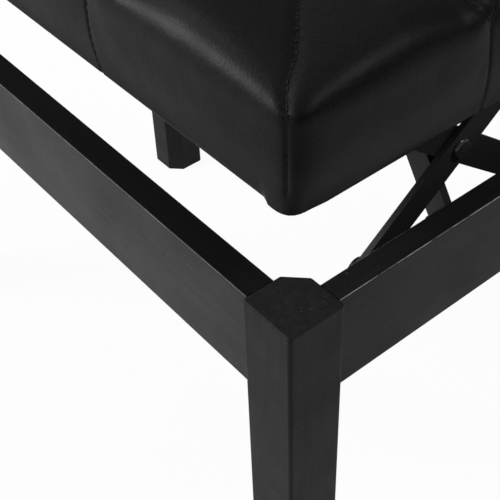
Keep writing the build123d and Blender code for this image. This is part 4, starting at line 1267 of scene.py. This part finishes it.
# Stage: reach of the floor and how white it reads, and the dome's colours by height
FLOOR_REACH = 8.0
FLOOR_WHITE = 0.95
DOME = ((0.0, (0.22, 0.22, 0.226)), (0.45, (0.145, 0.145, 0.148)), (1.0, (0.10, 0.10, 0.10)))

# Soft boxes with their places and sizes, all aimed at one point
LIGHT_TARGET = (0, 0, 0.4)
SOFT_BOXES = (
    ("key_light", (-1.25, -1.47, 1.32), 0.75),
    ("fill_light", (1.21, 0.77, 2.10), 0.5),
    ("edge_light", (-1.40, -0.45, 2.05), 0.5),
    ("top_light", (-0.4, 0.5, 2.3), 1.6),
)


def floor_material(colour):
    """Pale floor that keeps the stool's shadow and reads as white to the camera and in reflections."""
    material = bpy.data.materials.new("studio_floor")
    material.use_nodes = True
    tree = material.node_tree
    tree.nodes.clear()
    paper = put(tree, "ShaderNodeBsdfDiffuse", Color=(*colour, 1))
    white = put(tree, "ShaderNodeEmission", Color=(1, 1, 1, 1), Strength=1.0)
    path = tree.nodes.new("ShaderNodeLightPath")
    seen = maths(tree, "MAXIMUM", path.outputs["Is Camera Ray"], path.outputs["Is Glossy Ray"])
    seen = maths(tree, "MAXIMUM", seen, path.outputs["Is Transmission Ray"])
    mix = tree.nodes.new("ShaderNodeMixShader")
    link(tree, maths(tree, "MULTIPLY", seen, FLOOR_WHITE), mix.inputs["Fac"])
    link(tree, paper.outputs[0], mix.inputs[1])
    link(tree, white.outputs[0], mix.inputs[2])
    link(tree, mix.outputs[0], tree.nodes.new("ShaderNodeOutputMaterial").inputs["Surface"])
    return material


def studio_world():
    """White to the camera, a soft dome that is dimmer overhead to everything else."""
    world = bpy.data.worlds.new("studio")
    world.use_nodes = True
    tree = world.node_tree
    tree.nodes.clear()
    heading = tree.nodes.new("ShaderNodeSeparateXYZ")
    link(tree, tree.nodes.new("ShaderNodeTexCoord").outputs["Generated"], heading.inputs[0])
    dome = tree.nodes.new("ShaderNodeValToRGB")
    stops = dome.color_ramp.elements
    stops.new(DOME[1][0])
    for stop, (height, colour) in zip(stops, DOME):
        stop.position = height
        stop.color = (*colour, 1)
    link(tree, heading.outputs["Z"], dome.inputs["Fac"])
    path = tree.nodes.new("ShaderNodeLightPath")
    seen = maths(tree, "MAXIMUM", path.outputs["Is Camera Ray"], path.outputs["Is Transmission Ray"])
    light = put(tree, "ShaderNodeBackground", Strength=1.0)
    link(tree, blend_colour(tree, seen, dome.outputs["Color"], (1, 1, 1)), light.inputs["Color"])
    link(tree, light.outputs[0], tree.nodes.new("ShaderNodeOutputWorld").inputs["Surface"])
    return world


def soft_box(name, place, size, power):
    """Square area light aimed at the stool."""
    lamp = bpy.data.lights.new(name, "AREA")
    lamp.size = size
    lamp.energy = power
    holder = bpy.data.objects.new(name, lamp)
    holder.location = place
    holder.rotation_euler = (Vector(LIGHT_TARGET) - Vector(place)).to_track_quat("-Z", "Y").to_euler()
    bpy.context.scene.collection.objects.link(holder)


class STOOL_OT_stage(bpy.types.Operator):
    """Set the camera, the pale floor and the studio light"""
    bl_idname = "stool.stage"
    bl_label = "Set the stage"

    def execute(self, context):
        scene = context.scene
        settings = scene.stool_stage
        eye = bpy.data.cameras.new("photo_camera")
        eye.lens = settings.lens
        eye.sensor_width = 36.0
        camera = bpy.data.objects.new("photo_camera", eye)
        axes = Matrix((CAMERA_RIGHT, CAMERA_UP, CAMERA_BACK)).transposed()
        camera.matrix_world = Matrix.Translation(CAMERA_PLACE) @ axes.to_4x4()
        scene.collection.objects.link(camera)
        scene.camera = camera
        mesh = bpy.data.meshes.new("studio_floor")
        corners = [(x * FLOOR_REACH, y * FLOOR_REACH, 0) for x, y in ((-1, -1), (1, -1), (1, 1), (-1, 1))]
        mesh.from_pydata(corners, [], [(0, 1, 2, 3)])
        mesh.materials.append(floor_material(settings.floor_colour))
        floor = bpy.data.objects.new("studio_floor", mesh)
        scene.collection.objects.link(floor)
        scene.world = studio_world()
        powers = (settings.key_power, settings.fill_power, settings.edge_power, settings.top_power)
        for (name, place, size), power in zip(SOFT_BOXES, powers):
            soft_box(name, place, size, power)
        scene.view_settings.view_transform = "Standard"
        return {"FINISHED"}


STEPS = (STOOL_OT_stage, STOOL_OT_frame, STOOL_OT_lift, STOOL_OT_seat_frame, STOOL_OT_cushion,
         STOOL_OT_buttons, STOOL_OT_lead_screw, STOOL_OT_staples)
SETTINGS = {"stool_finish": FinishSettings, "stool_cushion": CushionSettings, "stool_stage": StageSettings}


class STOOL_PT_panel(bpy.types.Panel):
    """Sidebar panel of the stool"""
    bl_idname = "STOOL_PT_panel"
    bl_label = "Piano stool"
    bl_space_type = "VIEW_3D"
    bl_region_type = "UI"
    bl_category = "Stool"

    def draw(self, context):
        for name in SETTINGS:
            box = self.layout.box()
            settings = getattr(context.scene, name)
            for prop in settings.bl_rna.properties:
                if prop.identifier not in ("rna_type", "name"):
                    box.prop(settings, prop.identifier)
        for step in STEPS:
            self.layout.operator(step.bl_idname)


def register():
    for kind in (*SETTINGS.values(), *STEPS, STOOL_PT_panel):
        bpy.utils.register_class(kind)
    for name, kind in SETTINGS.items():
        setattr(bpy.types.Scene, name, bpy.props.PointerProperty(type=kind))


def unregister():
    for name in SETTINGS:
        delattr(bpy.types.Scene, name)
    for kind in (STOOL_PT_panel, *reversed(STEPS), *reversed(SETTINGS.values())):
        bpy.utils.unregister_class(kind)


def main():
    """Dress the stool."""
    register()
    for step in STEPS:
        group, name = step.bl_idname.split(".")
        getattr(getattr(bpy.ops, group), name)()


if __name__ == "__main__":
    main()
